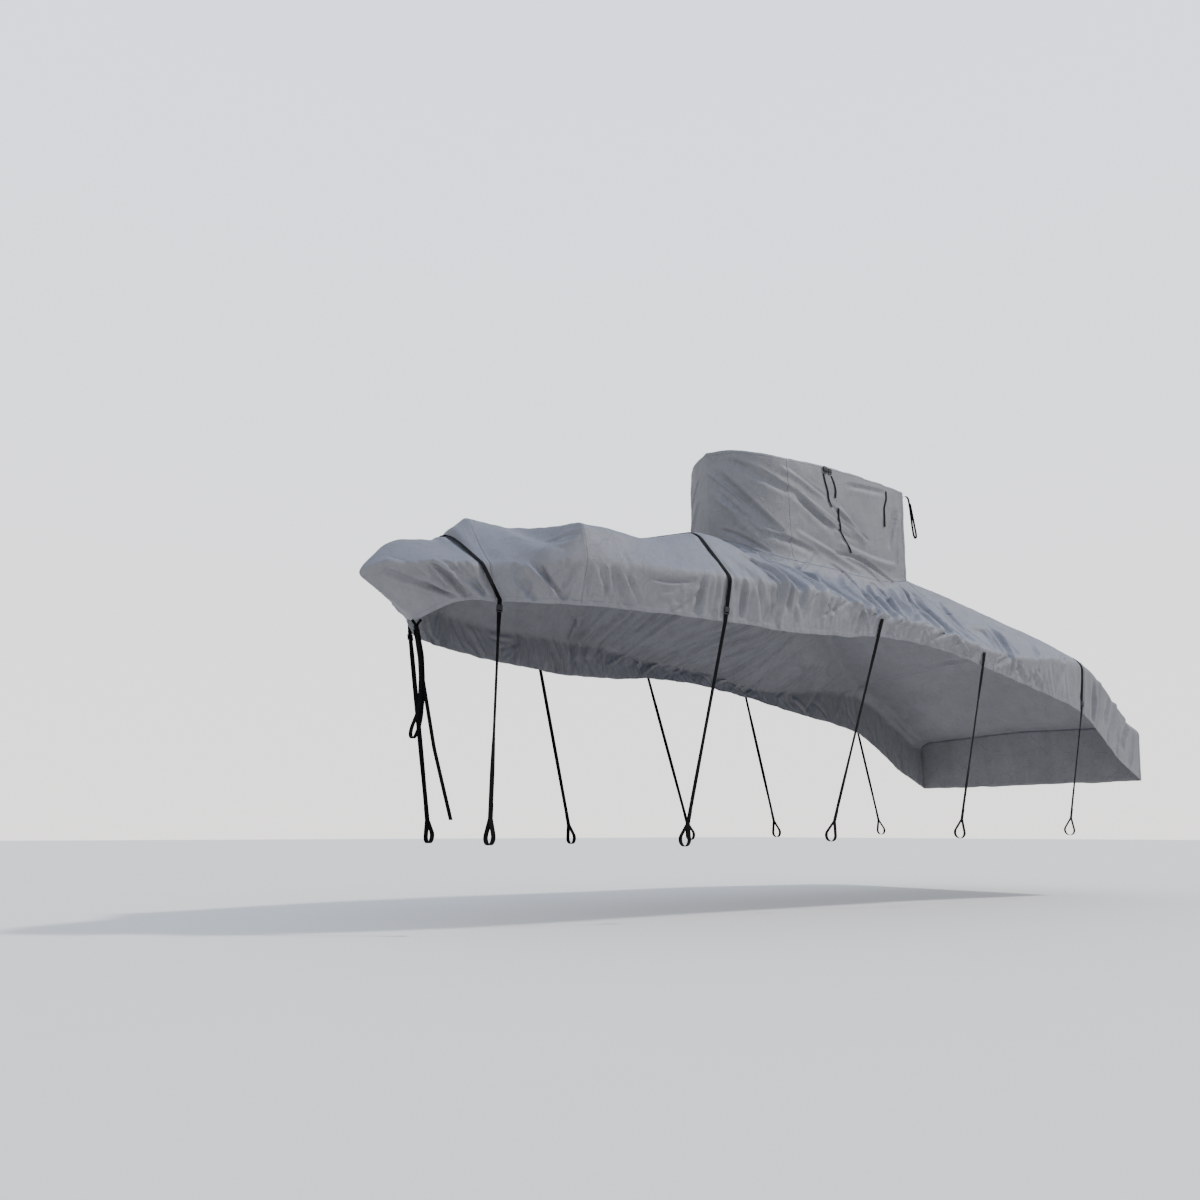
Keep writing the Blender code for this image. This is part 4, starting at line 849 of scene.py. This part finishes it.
def blockPiece(name, node, centre, axes, blocks, material):  # blocks by place, size and bevel
    bm, axes = bmesh.new(), np.array(axes, float)
    for place, size, bevel in blocks:
        block = bmesh.new()
        at = Matrix.Translation(Vector(centre + np.array(place) @ axes - rowOrigin))
        matrix = at @ Matrix(axes.T.tolist()).to_4x4() @ Matrix.Diagonal((*size, 1))
        bmesh.ops.create_cube(block, size=1, matrix=matrix)
        bmesh.ops.bevel(
            block, geom=block.edges[:], offset=bevel, segments=3, profile=0.5,
            affect="EDGES", material=-1,
        )
        mesh = bpy.data.meshes.new("part")
        block.to_mesh(mesh)
        block.free()
        bm.from_mesh(mesh)
        bpy.data.meshes.remove(mesh)
    bmesh.ops.recalc_face_normals(bm, faces=bm.faces[:])
    return finishPiece(bm, name, material, node)


camFrame = dict(play=0.0008, wall=0.004, teeth=(-0.006, 0.012, 6))


def camBlocks():  # frame with two bars and a toothed lever
    wide, top = strap["width"] / 2 + camFrame["play"], strap["thickness"] / 2
    wall, bevel = camFrame["wall"], 0.0012
    sides = [((hand * (wide + wall / 2), 0, 0.0022), (wall, 0.045, 0.0062)) for hand in (-1, 1)]
    bars = [((0, up, top + 0.0026), (2 * wide + 0.002, 0.0055, 0.0034)) for up in (-0.0190, 0.0190)]
    lever = ((0, 0.0035, top + 0.0030), (2 * wide - 0.001, 0.0240, 0.0030), 0.0011)
    tooth = (2 * wide - 0.006, 0.0012, 0.0010)
    teeth = [((0, up, top + 0.0047), tooth, 0.0004) for up in np.linspace(*camFrame["teeth"])]
    return [*((place, size, bevel) for place, size in sides + bars), lever, *teeth]


def camBuckle(node, place, direction, material):
    along = np.array((1.0, 0.0, 0.0))
    out = np.cross(direction, along)
    out = out if out[1] * place[1] > 0 else -out
    blockPiece(node, node, place, (along, direction, out), camBlocks(), material)


def makeStraps(tree, webbing, plastic):
    for values in overTable:
        row = dict(zip(overColumns, values))
        name, buckleUp = row["name"], row["buckleUp"]
        points = sectionLine(tree, row)
        path = [*frameLoop(points[0], points[1])[::-1], *points, *frameLoop(points[-1], points[-2])]
        free = (buckleUp - strap["flatTop"], points[0][2] + strap["flatLow"])
        strapPiece("strap_" + name, path, free, strapTwist[name], webbing)
        for word, line in (("port", points), ("starboard", points[::-1])):
            camBuckle(f"buckle_{name}_{word}", *placeOn(line, buckleUp), plastic)
    for name, aft, topUp, half, up in sewnTable:
        for word, side in hands.items():
            line = []
            for high in np.linspace(topUp, topUp - strap["sewn"], 41):
                reach = castReach(tree, (aft, 0, high), (0, side, 0), 4, strapShifts)
                if reach > half:
                    line.append(np.array((side * reach, high)))
            line = offLine(tautHull([*line, np.array((side * half, up))], side), side)
            line = [np.array((aft, *point)) for point in line]
            free = (topUp - strap["sewn"] - strap["flatTop"], line[-1][2] + strap["flatLow"])
            path = line + frameLoop(line[-1], line[-2])
            strapPiece(f"strap_{name}_{word}", path, free, side * strapTwist[name], webbing)
    print("straps")


towerBuckle = dict(place=(3.620, 3.285), size=(0.105, 0.010, 0.060), off=0.0005)


def sideBlocks(deep):  # socket and plug side by side, with bars for the two tails
    blocks = [
        ((-0.026, 0, 0.004), (0.046, deep * 0.96, 0.036)),
        ((0.027, 0, 0.002), (0.040, deep * 0.80, 0.030)),
        ((0.002, 0, 0.010), (0.016, deep * 0.5, 0.010)),
        ((0.002, 0, -0.006), (0.016, deep * 0.5, 0.010)),
    ]
    for across in (-0.026, 0.027):
        blocks.append(((across, 0, -0.026), (0.034, deep * 0.6, 0.006)))
        blocks += [((across + half, 0, -0.018), (0.005, deep * 0.6, 0.016)) for half in (-0.015, 0.015)]
    blocks.append(((-0.026, 0, 0.026), (0.030, deep * 0.5, 0.006)))
    return [(place, size, 0.0018) for place, size in blocks]


def sideBuckle(tree, word, side, material):
    aft, up = towerBuckle["place"]
    long, deep, tall = towerBuckle["size"]
    shifts = sideShifts(np.linspace(-0.5, 0.5, 9) * long, np.linspace(-0.5, 0.5, 5) * tall)
    reach = castReach(tree, (aft, 0, up), (0, side, 0), 4, shifts)
    centre = np.array((aft, side * (reach + towerBuckle["off"] + deep / 2), up))
    axes = ((1, 0, 0), (0, side, 0), (0, 0, 1))
    blockPiece("buckle_block_" + word, "buckle_" + word, centre, axes, sideBlocks(deep), material)


tie = dict(width=0.018, thickness=0.0018, clearance=0.0005, lift=0.0012)
tieShares = np.linspace(-0.55, 0.55, 5)
tieOff = tie["clearance"] + tie["thickness"] / 2
tieTable = dict(
    long=((3.575, 3.250), (3.585, 3.180), (3.610, 3.110), (3.615, 3.040), (3.640, 2.985)),
    short=((3.665, 3.250), (3.690, 3.200), (3.700, 3.130), (3.690, 3.070)),
    rear=((4.350, 3.265), (4.340, 3.190), (4.300, 3.110), (4.290, 3.020), (4.282, 2.945)),
    wall=((3.714, 2.990), (3.718, 2.900), (3.722, 2.790), (3.770, 2.740), (3.816, 2.640)),
)
cornerLoop = dict(half=0.470, seat=(3.190, 3.210, 3.230, 3.250), route=(
    (4.625, 3.285), (4.670, 3.300), (4.698, 3.280), (4.712, 3.180), (4.722, 3.050), (4.735, 2.965),
    (4.752, 2.935), (4.768, 2.940), (4.772, 2.975), (4.755, 3.060), (4.730, 3.180), (4.716, 3.240),
))


def makeTies(tree, webbing, plastic):
    shifts = sideShifts(tieShares * tie["width"], (-0.004, 0, 0.004))
    for word, side in hands.items():
        for name, route in tieTable.items():
            if side > 0 and name == "wall":
                continue
            path = []
            for place in np.linspace(0, len(route) - 1, 8 * (len(route) - 1) + 1):
                aft, up = (np.interp(place, np.arange(len(route)), values) for values in zip(*route))
                reach = castReach(tree, (aft, 0, up), (0, side, 0), 4, shifts)
                path.append((aft, side * (reach + tieOff + tie["lift"] * place), up))
            webPiece(f"tie_{name}_{word}", smoothPath(path, 3), (1, 0, 0), tie, webbing)
        sideBuckle(tree, "tower_" + word, side, plastic)
        half = side * cornerLoop["half"]
        around = [(0, share * tie["width"], rise) for share in tieShares for rise in (-0.010, 0, 0.010)]
        seat = [
            (castReach(tree, (0, half, up), (1, 0, 0), 6, around) + tieOff, up)
            for up in cornerLoop["seat"]
        ]
        path = resample([(aft, half, up) for aft, up in (*seat, *cornerLoop["route"])], strap["step"])
        webPiece("corner_loop_" + word, smoothPath(path, 3), (0, 1, 0), tie, webbing)
    print("ties")


bow = dict(
    knot=(0.062, 0.056, 0.056), gap=0.0021, webHalf=0.014, width=0.024, across=(0.72, -0.69, 0.0),
    wraps=((0.9, 0.3, 0.25), (-0.55, 0.8, 0.2), (0.15, -0.35, 0.93)), wrapShare=(0.42, 0.46, 0.50),
    wrapWave=0.10, wrapWidth=0.5, wrapThickness=1.3, core=0.34, aft=0.004, lift=0.0003, sink=0.018,
    legHalf=0.028, legWidth=0.017, legBend=0.003, tailHalf=0.006, tailShare=0.9, tailWidth=0.8,
)
bowRoutes = dict(  # each free end, by its side of the middle and its points aft and up
    bow_loop=(-1, (
        (0.402, 1.655), (0.428, 1.550), (0.440, 1.420), (0.443, 1.290), (0.437, 1.180), (0.427, 1.125),
        (0.408, 1.075), (0.392, 1.052), (0.378, 1.060), (0.372, 1.085), (0.382, 1.130), (0.403, 1.180),
        (0.418, 1.225), (0.425, 1.290), (0.424, 1.420), (0.412, 1.540), (0.386, 1.665),
    )),
    bow_line=(1, ((0.402, 1.652), (0.452, 1.420), (0.545, 1.010), (0.672, 0.597))),
)


def makeBow(webbing):
    tall, thickness = bow["knot"][2], strap["thickness"]
    centre = Vector(ribKnots(0)[0][0]) + Vector((bow["aft"], 0, bow["lift"] - tall / 2))
    knot = centre - Vector((0, 0, bow["sink"]))
    bm = bmesh.new()
    uv = bm.loops.layers.uv.new("cloth")
    matrix = Matrix.LocRotScale(knot - Vector(rowOrigin), None, Vector(bow["knot"]) * bow["core"])
    bmesh.ops.create_icosphere(bm, subdivisions=4, radius=0.5, matrix=matrix)
    for face in bm.faces:
        for loop in face.loops:
            loop[uv].uv = (loop.vert.co.x, loop.vert.co.z)
    for axis, share in zip(bow["wraps"], bow["wrapShare"]):  # the tape wound over itself three ways
        axis = Vector(axis).normalized()
        first = axis.orthogonal().normalized()
        second = axis.cross(first)
        radii = Vector(bow["knot"]) * 0.5 * share
        path = []
        for turn in np.linspace(0, 2 * math.pi, 41):
            way = first * math.cos(turn) + second * math.sin(turn)
            way += axis * bow["wrapWave"] * math.sin(2 * turn)
            path.append(knot + way * radii)
        addWeb(bm, path, axis, bow["width"] * bow["wrapWidth"], thickness * bow["wrapThickness"])
    level = Vector(bow["across"]).normalized()
    for side in hands.values():  # a leg up to each side of the hem
        top = centre + level * side * bow["legHalf"] + Vector((0, 0, tall / 2 - 0.001))
        middle = knot.lerp(top, 0.5) - level * side * bow["legBend"]
        path = smoothPath(resample([top, middle, knot], 0.005), 2)
        addWeb(bm, path, (knot - top).cross(level.cross(Vector((0, 0, 1)))), bow["legWidth"], thickness)
    for side in hands.values():  # the tapes that leave its underside
        start = knot + Vector((0, side * bow["tailHalf"], 0))
        end = Vector((centre.x, side * bow["webHalf"] * bow["tailShare"], centre.z - tall / 2))
        path = [start, start.lerp(end, 0.5), end]
        addWeb(bm, path, bow["across"], bow["width"] * bow["tailWidth"], thickness)
    finishPiece(bm, "web_bow_knot", webbing, "bow_knot")
    seat = (centre.x, centre.z - tall / 2 - bow["gap"])
    for node, (half, route) in bowRoutes.items():
        path = [(aft, half * bow["webHalf"], up) for aft, up in (seat, *route)]
        path = smoothPath(resample(path, strap["step"]), 3)
        webPiece(node, path, bow["across"], dict(width=bow["width"], thickness=thickness), webbing)
    print("bow knot")


class Wire:
    def __init__(self, shader, socket):
        self.shader, self.socket = shader, socket

    def math(self, operation, *others):
        return self.shader.math(operation, self, *others)

    def __add__(self, other):
        return self.math("ADD", other)

    def __sub__(self, other):
        return self.math("SUBTRACT", other)

    def __rsub__(self, other):
        return self.shader.math("SUBTRACT", other, self)

    def __mul__(self, other):
        return self.math("MULTIPLY", other)

    def __truediv__(self, other):
        return self.math("DIVIDE", other)

    def __rtruediv__(self, other):
        return self.shader.math("DIVIDE", other, self)

    __radd__ = __add__
    __rmul__ = __mul__


class Shader:
    def __init__(self, owner, surface="Principled BSDF"):
        owner.use_nodes = True
        self.owner, self.tree = owner, owner.node_tree
        self.surface = self.tree.nodes[surface]

    def plug(self, socket, value):
        if isinstance(value, Wire):
            self.tree.links.new(value.socket, socket)
        else:
            socket.default_value = value

    def node(self, kind, settings=None, inputs=None):
        made = self.tree.nodes.new(kind)
        for key, value in (settings or {}).items():
            setattr(made, key, value)
        for key, value in (inputs or {}).items():
            self.plug(made.inputs[key], value)
        return lambda name: Wire(self, made.outputs[name])

    def math(self, operation, *values):
        return self.node("ShaderNodeMath", {"operation": operation}, dict(enumerate(values)))("Value")

    def place(self):
        return self.node("ShaderNodeTexCoord")("Object")

    def split(self, vector):
        return self.node("ShaderNodeSeparateXYZ", {}, {0: vector})

    def cloth(self):  # metres along and across the cloth, together and apart
        cut = self.node("ShaderNodeUVMap", {"uv_map": "cloth"})("UV")
        parts = self.split(cut)
        return cut, parts("X"), parts("Y")

    def noise(self, vector, scale, detail=3.0, roughness=0.5):
        inputs = {"Vector": vector, "Scale": scale, "Detail": detail, "Roughness": roughness}
        return self.node("ShaderNodeTexNoise", {"noise_type": "FBM"}, inputs)("Fac")

    def stretched(self, vector, scale, detail, roughness=0.5):  # noise drawn out along an axis
        longer = self.node("ShaderNodeVectorMath", {"operation": "MULTIPLY"}, {0: vector, 1: scale})
        return self.noise(longer("Vector"), 1.0, detail, roughness)

    def ramp(self, value, low, high, start=0.0, end=1.0):
        inputs = {"Value": value, "From Min": low, "From Max": high, "To Min": start, "To Max": end}
        return self.node("ShaderNodeMapRange", {"clamp": True}, inputs)("Result")

    def mix(self, share, first, second):
        inputs = {"Factor": share, 6: first, 7: second}
        return self.node("ShaderNodeMix", {"data_type": "RGBA"}, inputs)(2)

    def layer(self, colour, tone, value, low, high, most):  # tone over colour where value is high
        return self.mix(self.ramp(value, low, high, 0.0, most), colour, tone)

    def bump(self, height, distance, strength, below=None):
        inputs = {"Height": height, "Distance": distance, "Strength": strength}
        if below is not None:
            inputs["Normal"] = below
        return self.node("ShaderNodeBump", {}, inputs)("Normal")

    def finish(self, **values):
        for key, value in values.items():
            self.plug(self.surface.inputs[key.replace("_", " ")], value)
        return self.owner


canvasLook = dict(
    colour=(0.178, 0.177, 0.190, 1), worn=(0.223, 0.223, 0.239, 1), paintedSkyTint=(0.166, 0.186, 0.250, 1),
    dirtAndCreaseShade=(0.128, 0.127, 0.131, 1), dust=(0.4, 0.4, 0.4, 1), thread=(0.22, 0.23, 0.25, 1), yarn=0.0013,
    weaveDepth=0.00012, crumpleDepth=0.0030, creaseDepth=0.0016, threadDepth=0.0006, shine=0.4,
    stitch=0.0048, stitched=0.69, stitchWide=0.0012, stitchRows=(0.005, 0.019),
)


def canvasMaterial(name, look, stitched=False):
    shader = Shader(bpy.data.materials.new(name))
    place = shader.place()
    cloth, u, v = shader.cloth()
    turn = 2 * math.pi / look["yarn"]
    weave = (u * turn).math("SINE") * (v * turn).math("SINE")
    slub = shader.stretched(cloth, (900, 60, 1), 2) + shader.stretched(cloth, (60, 900, 1), 2)
    blotch = shader.noise(place, 1.6, 4, 0.6)
    cloud = shader.noise(place, 7.0, 5, 0.65)
    mottle = shader.noise(place, 38.0, 4, 0.7)
    streak = shader.stretched(place, (9, 9, 0.9), 4, 0.6)
    dust = shader.noise(place, 60.0, 3, 0.7)
    # the upward share of the normal, which places the painted sky-lit tone below
    up = shader.split(shader.node("ShaderNodeNewGeometry")("Normal"))("Z")

    def creases(scale, width):  # thin wandering lines where the cloth was folded
        away = (shader.noise(place, scale, 2, 0.4) - 0.5).math("ABSOLUTE")
        return shader.ramp(away, 0.0, width, 1.0, 0.0)

    fine = creases(5.5, 0.018) + creases(11.0, 0.022) * 0.6
    colour = shader.layer(look["colour"], look["worn"], blotch * 0.5 + cloud * 0.5, 0.38, 0.62, 1.0)
    # painted light: a bluer, sky-lit tone laid on faces that point upwards
    colour = shader.layer(colour, look["paintedSkyTint"], up, 0.10, 0.75, 0.75)
    colour = shader.layer(colour, look["dirtAndCreaseShade"], mottle, 0.35, 0.70, 0.28)
    colour = shader.layer(colour, look["dirtAndCreaseShade"], streak, 0.52, 0.75, 0.35)
    # painted shade: the crease lines darkened with the dirt tone, which elsewhere marks real dirt
    colour = shader.mix(fine * 0.22, colour, look["dirtAndCreaseShade"])
    colour = shader.layer(colour, look["dust"], dust, 0.58, 0.75, 0.10)
    colour = shader.layer(colour, look["dirtAndCreaseShade"], slub, 0.7, 1.3, 0.12)
    wrinkle = shader.stretched(place, (26.0, 26.0, 11.7), 3, 0.55)
    normal = shader.bump(wrinkle, look["crumpleDepth"], 0.6)
    normal = shader.bump(fine, look["creaseDepth"], 0.7, normal)
    normal = shader.bump(weave + slub * 0.5, look["weaveDepth"], 0.7, normal)
    if stitched:
        wide, end = look["stitchWide"], look["stitched"]
        dash = shader.ramp((u / look["stitch"]).math("FRACT"), end - 0.03, end + 0.03, 1.0, 0.0)
        rows = [(v - at).math("ABSOLUTE") for at in look["stitchRows"]]
        thread = dash * sum(shader.ramp(row, wide * 0.4, wide * 0.6, 1.0, 0.0) for row in rows)
        colour = shader.mix(thread, colour, look["thread"])
        normal = shader.bump(thread, look["threadDepth"], 0.8, normal)
    rough = shader.ramp(cloud, 0.3, 0.7, 0.52, 0.68)
    return shader.finish(
        Base_Color=colour, Roughness=rough, Normal=normal, Specular_IOR_Level=look["shine"]
    )


webLook = dict(
    colour=(0.0014, 0.0014, 0.0018, 1), dust=(0.006, 0.006, 0.0056, 1), ridge=(0.004, 0.004, 0.0045, 1),
    rib=0.0016, warp=0.0011, chevron=0.0075, chevronDepth=0.006, depth=0.00022, shine=0.08,
)


def webMaterial(name, look):
    shader = Shader(bpy.data.materials.new(name))
    cloth, u, v = shader.cloth()
    chevron = (v / look["chevron"]).math("PINGPONG", 0.5) * look["chevronDepth"]
    ribs = ((u + chevron) * (2 * math.pi / look["rib"])).math("SINE")
    warp = (v * (2 * math.pi / look["warp"])).math("SINE")
    worn = shader.noise(shader.place(), 22.0, 4, 0.6)
    fuzz = shader.stretched(cloth, (500, 1400, 1), 2)
    colour = shader.layer(look["colour"], look["dust"], worn, 0.45, 0.8, 0.35)
    colour = shader.layer(colour, look["ridge"], ribs, 0.2, 1.0, 0.25)
    normal = shader.bump(ribs * 0.7 + warp * 0.3 + fuzz * 0.4, look["depth"], 0.8)
    rough = shader.ramp(worn, 0.3, 0.7, 0.55, 0.75)
    return shader.finish(
        Base_Color=colour, Roughness=rough, Normal=normal, Specular_IOR_Level=look["shine"]
    )


plasticLook = dict(colour=(0.006, 0.006, 0.007, 1), scuff=(0.014, 0.014, 0.015, 1), depth=0.00012)


def plasticMaterial(name, look):
    shader = Shader(bpy.data.materials.new(name))
    place = shader.place()
    grain = shader.noise(place, 1400.0, 2)
    worn = shader.noise(place, 90.0, 4, 0.65)
    colour = shader.layer(look["colour"], look["scuff"], worn, 0.55, 0.75, 0.6)
    normal = shader.bump(grain + worn * 0.5, look["depth"], 0.6)
    rough = shader.ramp(worn, 0.3, 0.7, 0.32, 0.55)
    return shader.finish(Base_Color=colour, Roughness=rough, Normal=normal)


floorLook = dict(first=(0.80, 0.80, 0.80, 1), second=(0.83, 0.83, 0.82, 1), roughness=0.8)


def floorMaterial(name, look):
    shader = Shader(bpy.data.materials.new(name))
    tone = shader.mix(shader.noise(shader.place(), 0.8, 3), look["first"], look["second"])
    return shader.finish(Base_Color=tone, Roughness=look["roughness"])


heldTable = dict(  # how each panel is held, and the piece that it rests on
    bow_cap=("stretched", ["web_strap_bow"]), fore_deck=("draped", ["cloth_bow_cap"]),
    mid_deck=("draped", ["cloth_fore_deck"]), aft_deck=("stretched", ["cloth_side_port"]),
    stern_drop=("draped", ["cloth_aft_deck"]), side_port=("draped", ["cloth_tower_port"]),
    side_starboard=("draped", ["cloth_tower_starboard"]), tower_front=("hung", ["cloth_tower_top"]),
    tower_port=("hung", ["cloth_tower_top"]), tower_starboard=("hung", ["cloth_tower_top"]),
    tower_rear=("hung", ["cloth_tower_top"]), tower_top=("stretched", []),
    transom=("hung", ["cloth_stern_drop"]),
)
seamShare = 1.02  # cloth taken up by seams and hem


def flatArea(grid):
    a, b = np.diff(grid, axis=0)[:, :-1], np.diff(grid, axis=1)[:-1]
    return float(np.linalg.norm(np.cross(a, b), axis=2).sum())


def declareSheets(plain):
    for name, (held, support) in heldTable.items():
        cut = metresAlong(plain[name])
        width, length = float(cut[..., 0].max()), float(cut[..., 1].max())
        area = min(flatArea(plain[name]) * seamShare, width * length)
        print("flat", name, round(width, 2), round(length, 2), round(area, 2))


plain = panelGrids()
grids = drapeGrids(plain)
webbing = webMaterial("black_webbing", webLook)
plastic = plasticMaterial("black_plastic", plasticLook)
panels = makePanels(grids, canvasMaterial("marine_canvas", canvasLook))
bands, bandGrids = makeBands(grids, canvasMaterial("marine_canvas_sewn", canvasLook, stitched=True))
tree = surfaceTree([*grids.values(), *bandGrids])
makeStraps(tree, webbing, plastic)
makeTies(tree, webbing, plastic)
makeBow(webbing)
declareSheets(plain)

floorPlace = dict(cells=40, size=60, gap=0.002)
bm = bmesh.new()
bmesh.ops.create_grid(
    bm, x_segments=floorPlace["cells"], y_segments=floorPlace["cells"], size=floorPlace["size"],
    matrix=Matrix.Translation((0, 0, -rowOrigin[2] - floorPlace["gap"])),
)
meshObject(bm, "floor", floorMaterial("pale_floor", floorLook))

studio = dict(
    horizon=0.95, overhead=1.06, fade=0.9, low=(1.0, 0.985, 0.955, 1), high=(0.80, 0.90, 1.10, 1),
    backdrop=1.9, sun=2.4, sunAngle=4, sunColour=(1.0, 0.98, 0.95), sunFrom=(0.53, -0.42, 0.73),
)
sky = Shader(bpy.data.worlds.new("studio"), "Background")
height = sky.split(sky.node("ShaderNodeTexCoord")("Generated"))("Z")
dome = sky.ramp(height, 0.0, studio["fade"], studio["horizon"], studio["overhead"])
seen = sky.node("ShaderNodeLightPath")("Is Camera Ray")
strength = sky.node("ShaderNodeMix", {}, {"Factor": seen, 2: dome, 3: studio["backdrop"]})("Result")
tint = sky.mix(height, studio["low"], studio["high"])
bpy.context.scene.world = sky.finish(Color=tint, Strength=strength)

sun = bpy.data.lights.new("key", "SUN")
sun.energy, sun.angle, sun.color = studio["sun"], math.radians(studio["sunAngle"]), studio["sunColour"]
linked("key", sun).rotation_euler = Vector(studio["sunFrom"]).to_track_quat("Z", "Y").to_euler()

view = dict(place=(-5.88, -5.31, -2.82), tilt=103, heading=-37.3, lens=30, sensor=36, far=500)
lens = bpy.data.cameras.new("camera")
lens.lens, lens.sensor_width, lens.clip_end = view["lens"], view["sensor"], view["far"]
camera = linked("camera", lens)
camera.location = view["place"]
camera.rotation_euler = (math.radians(view["tilt"]), 0, math.radians(view["heading"]))
bpy.context.scene.camera = camera
print("floor, light and camera")
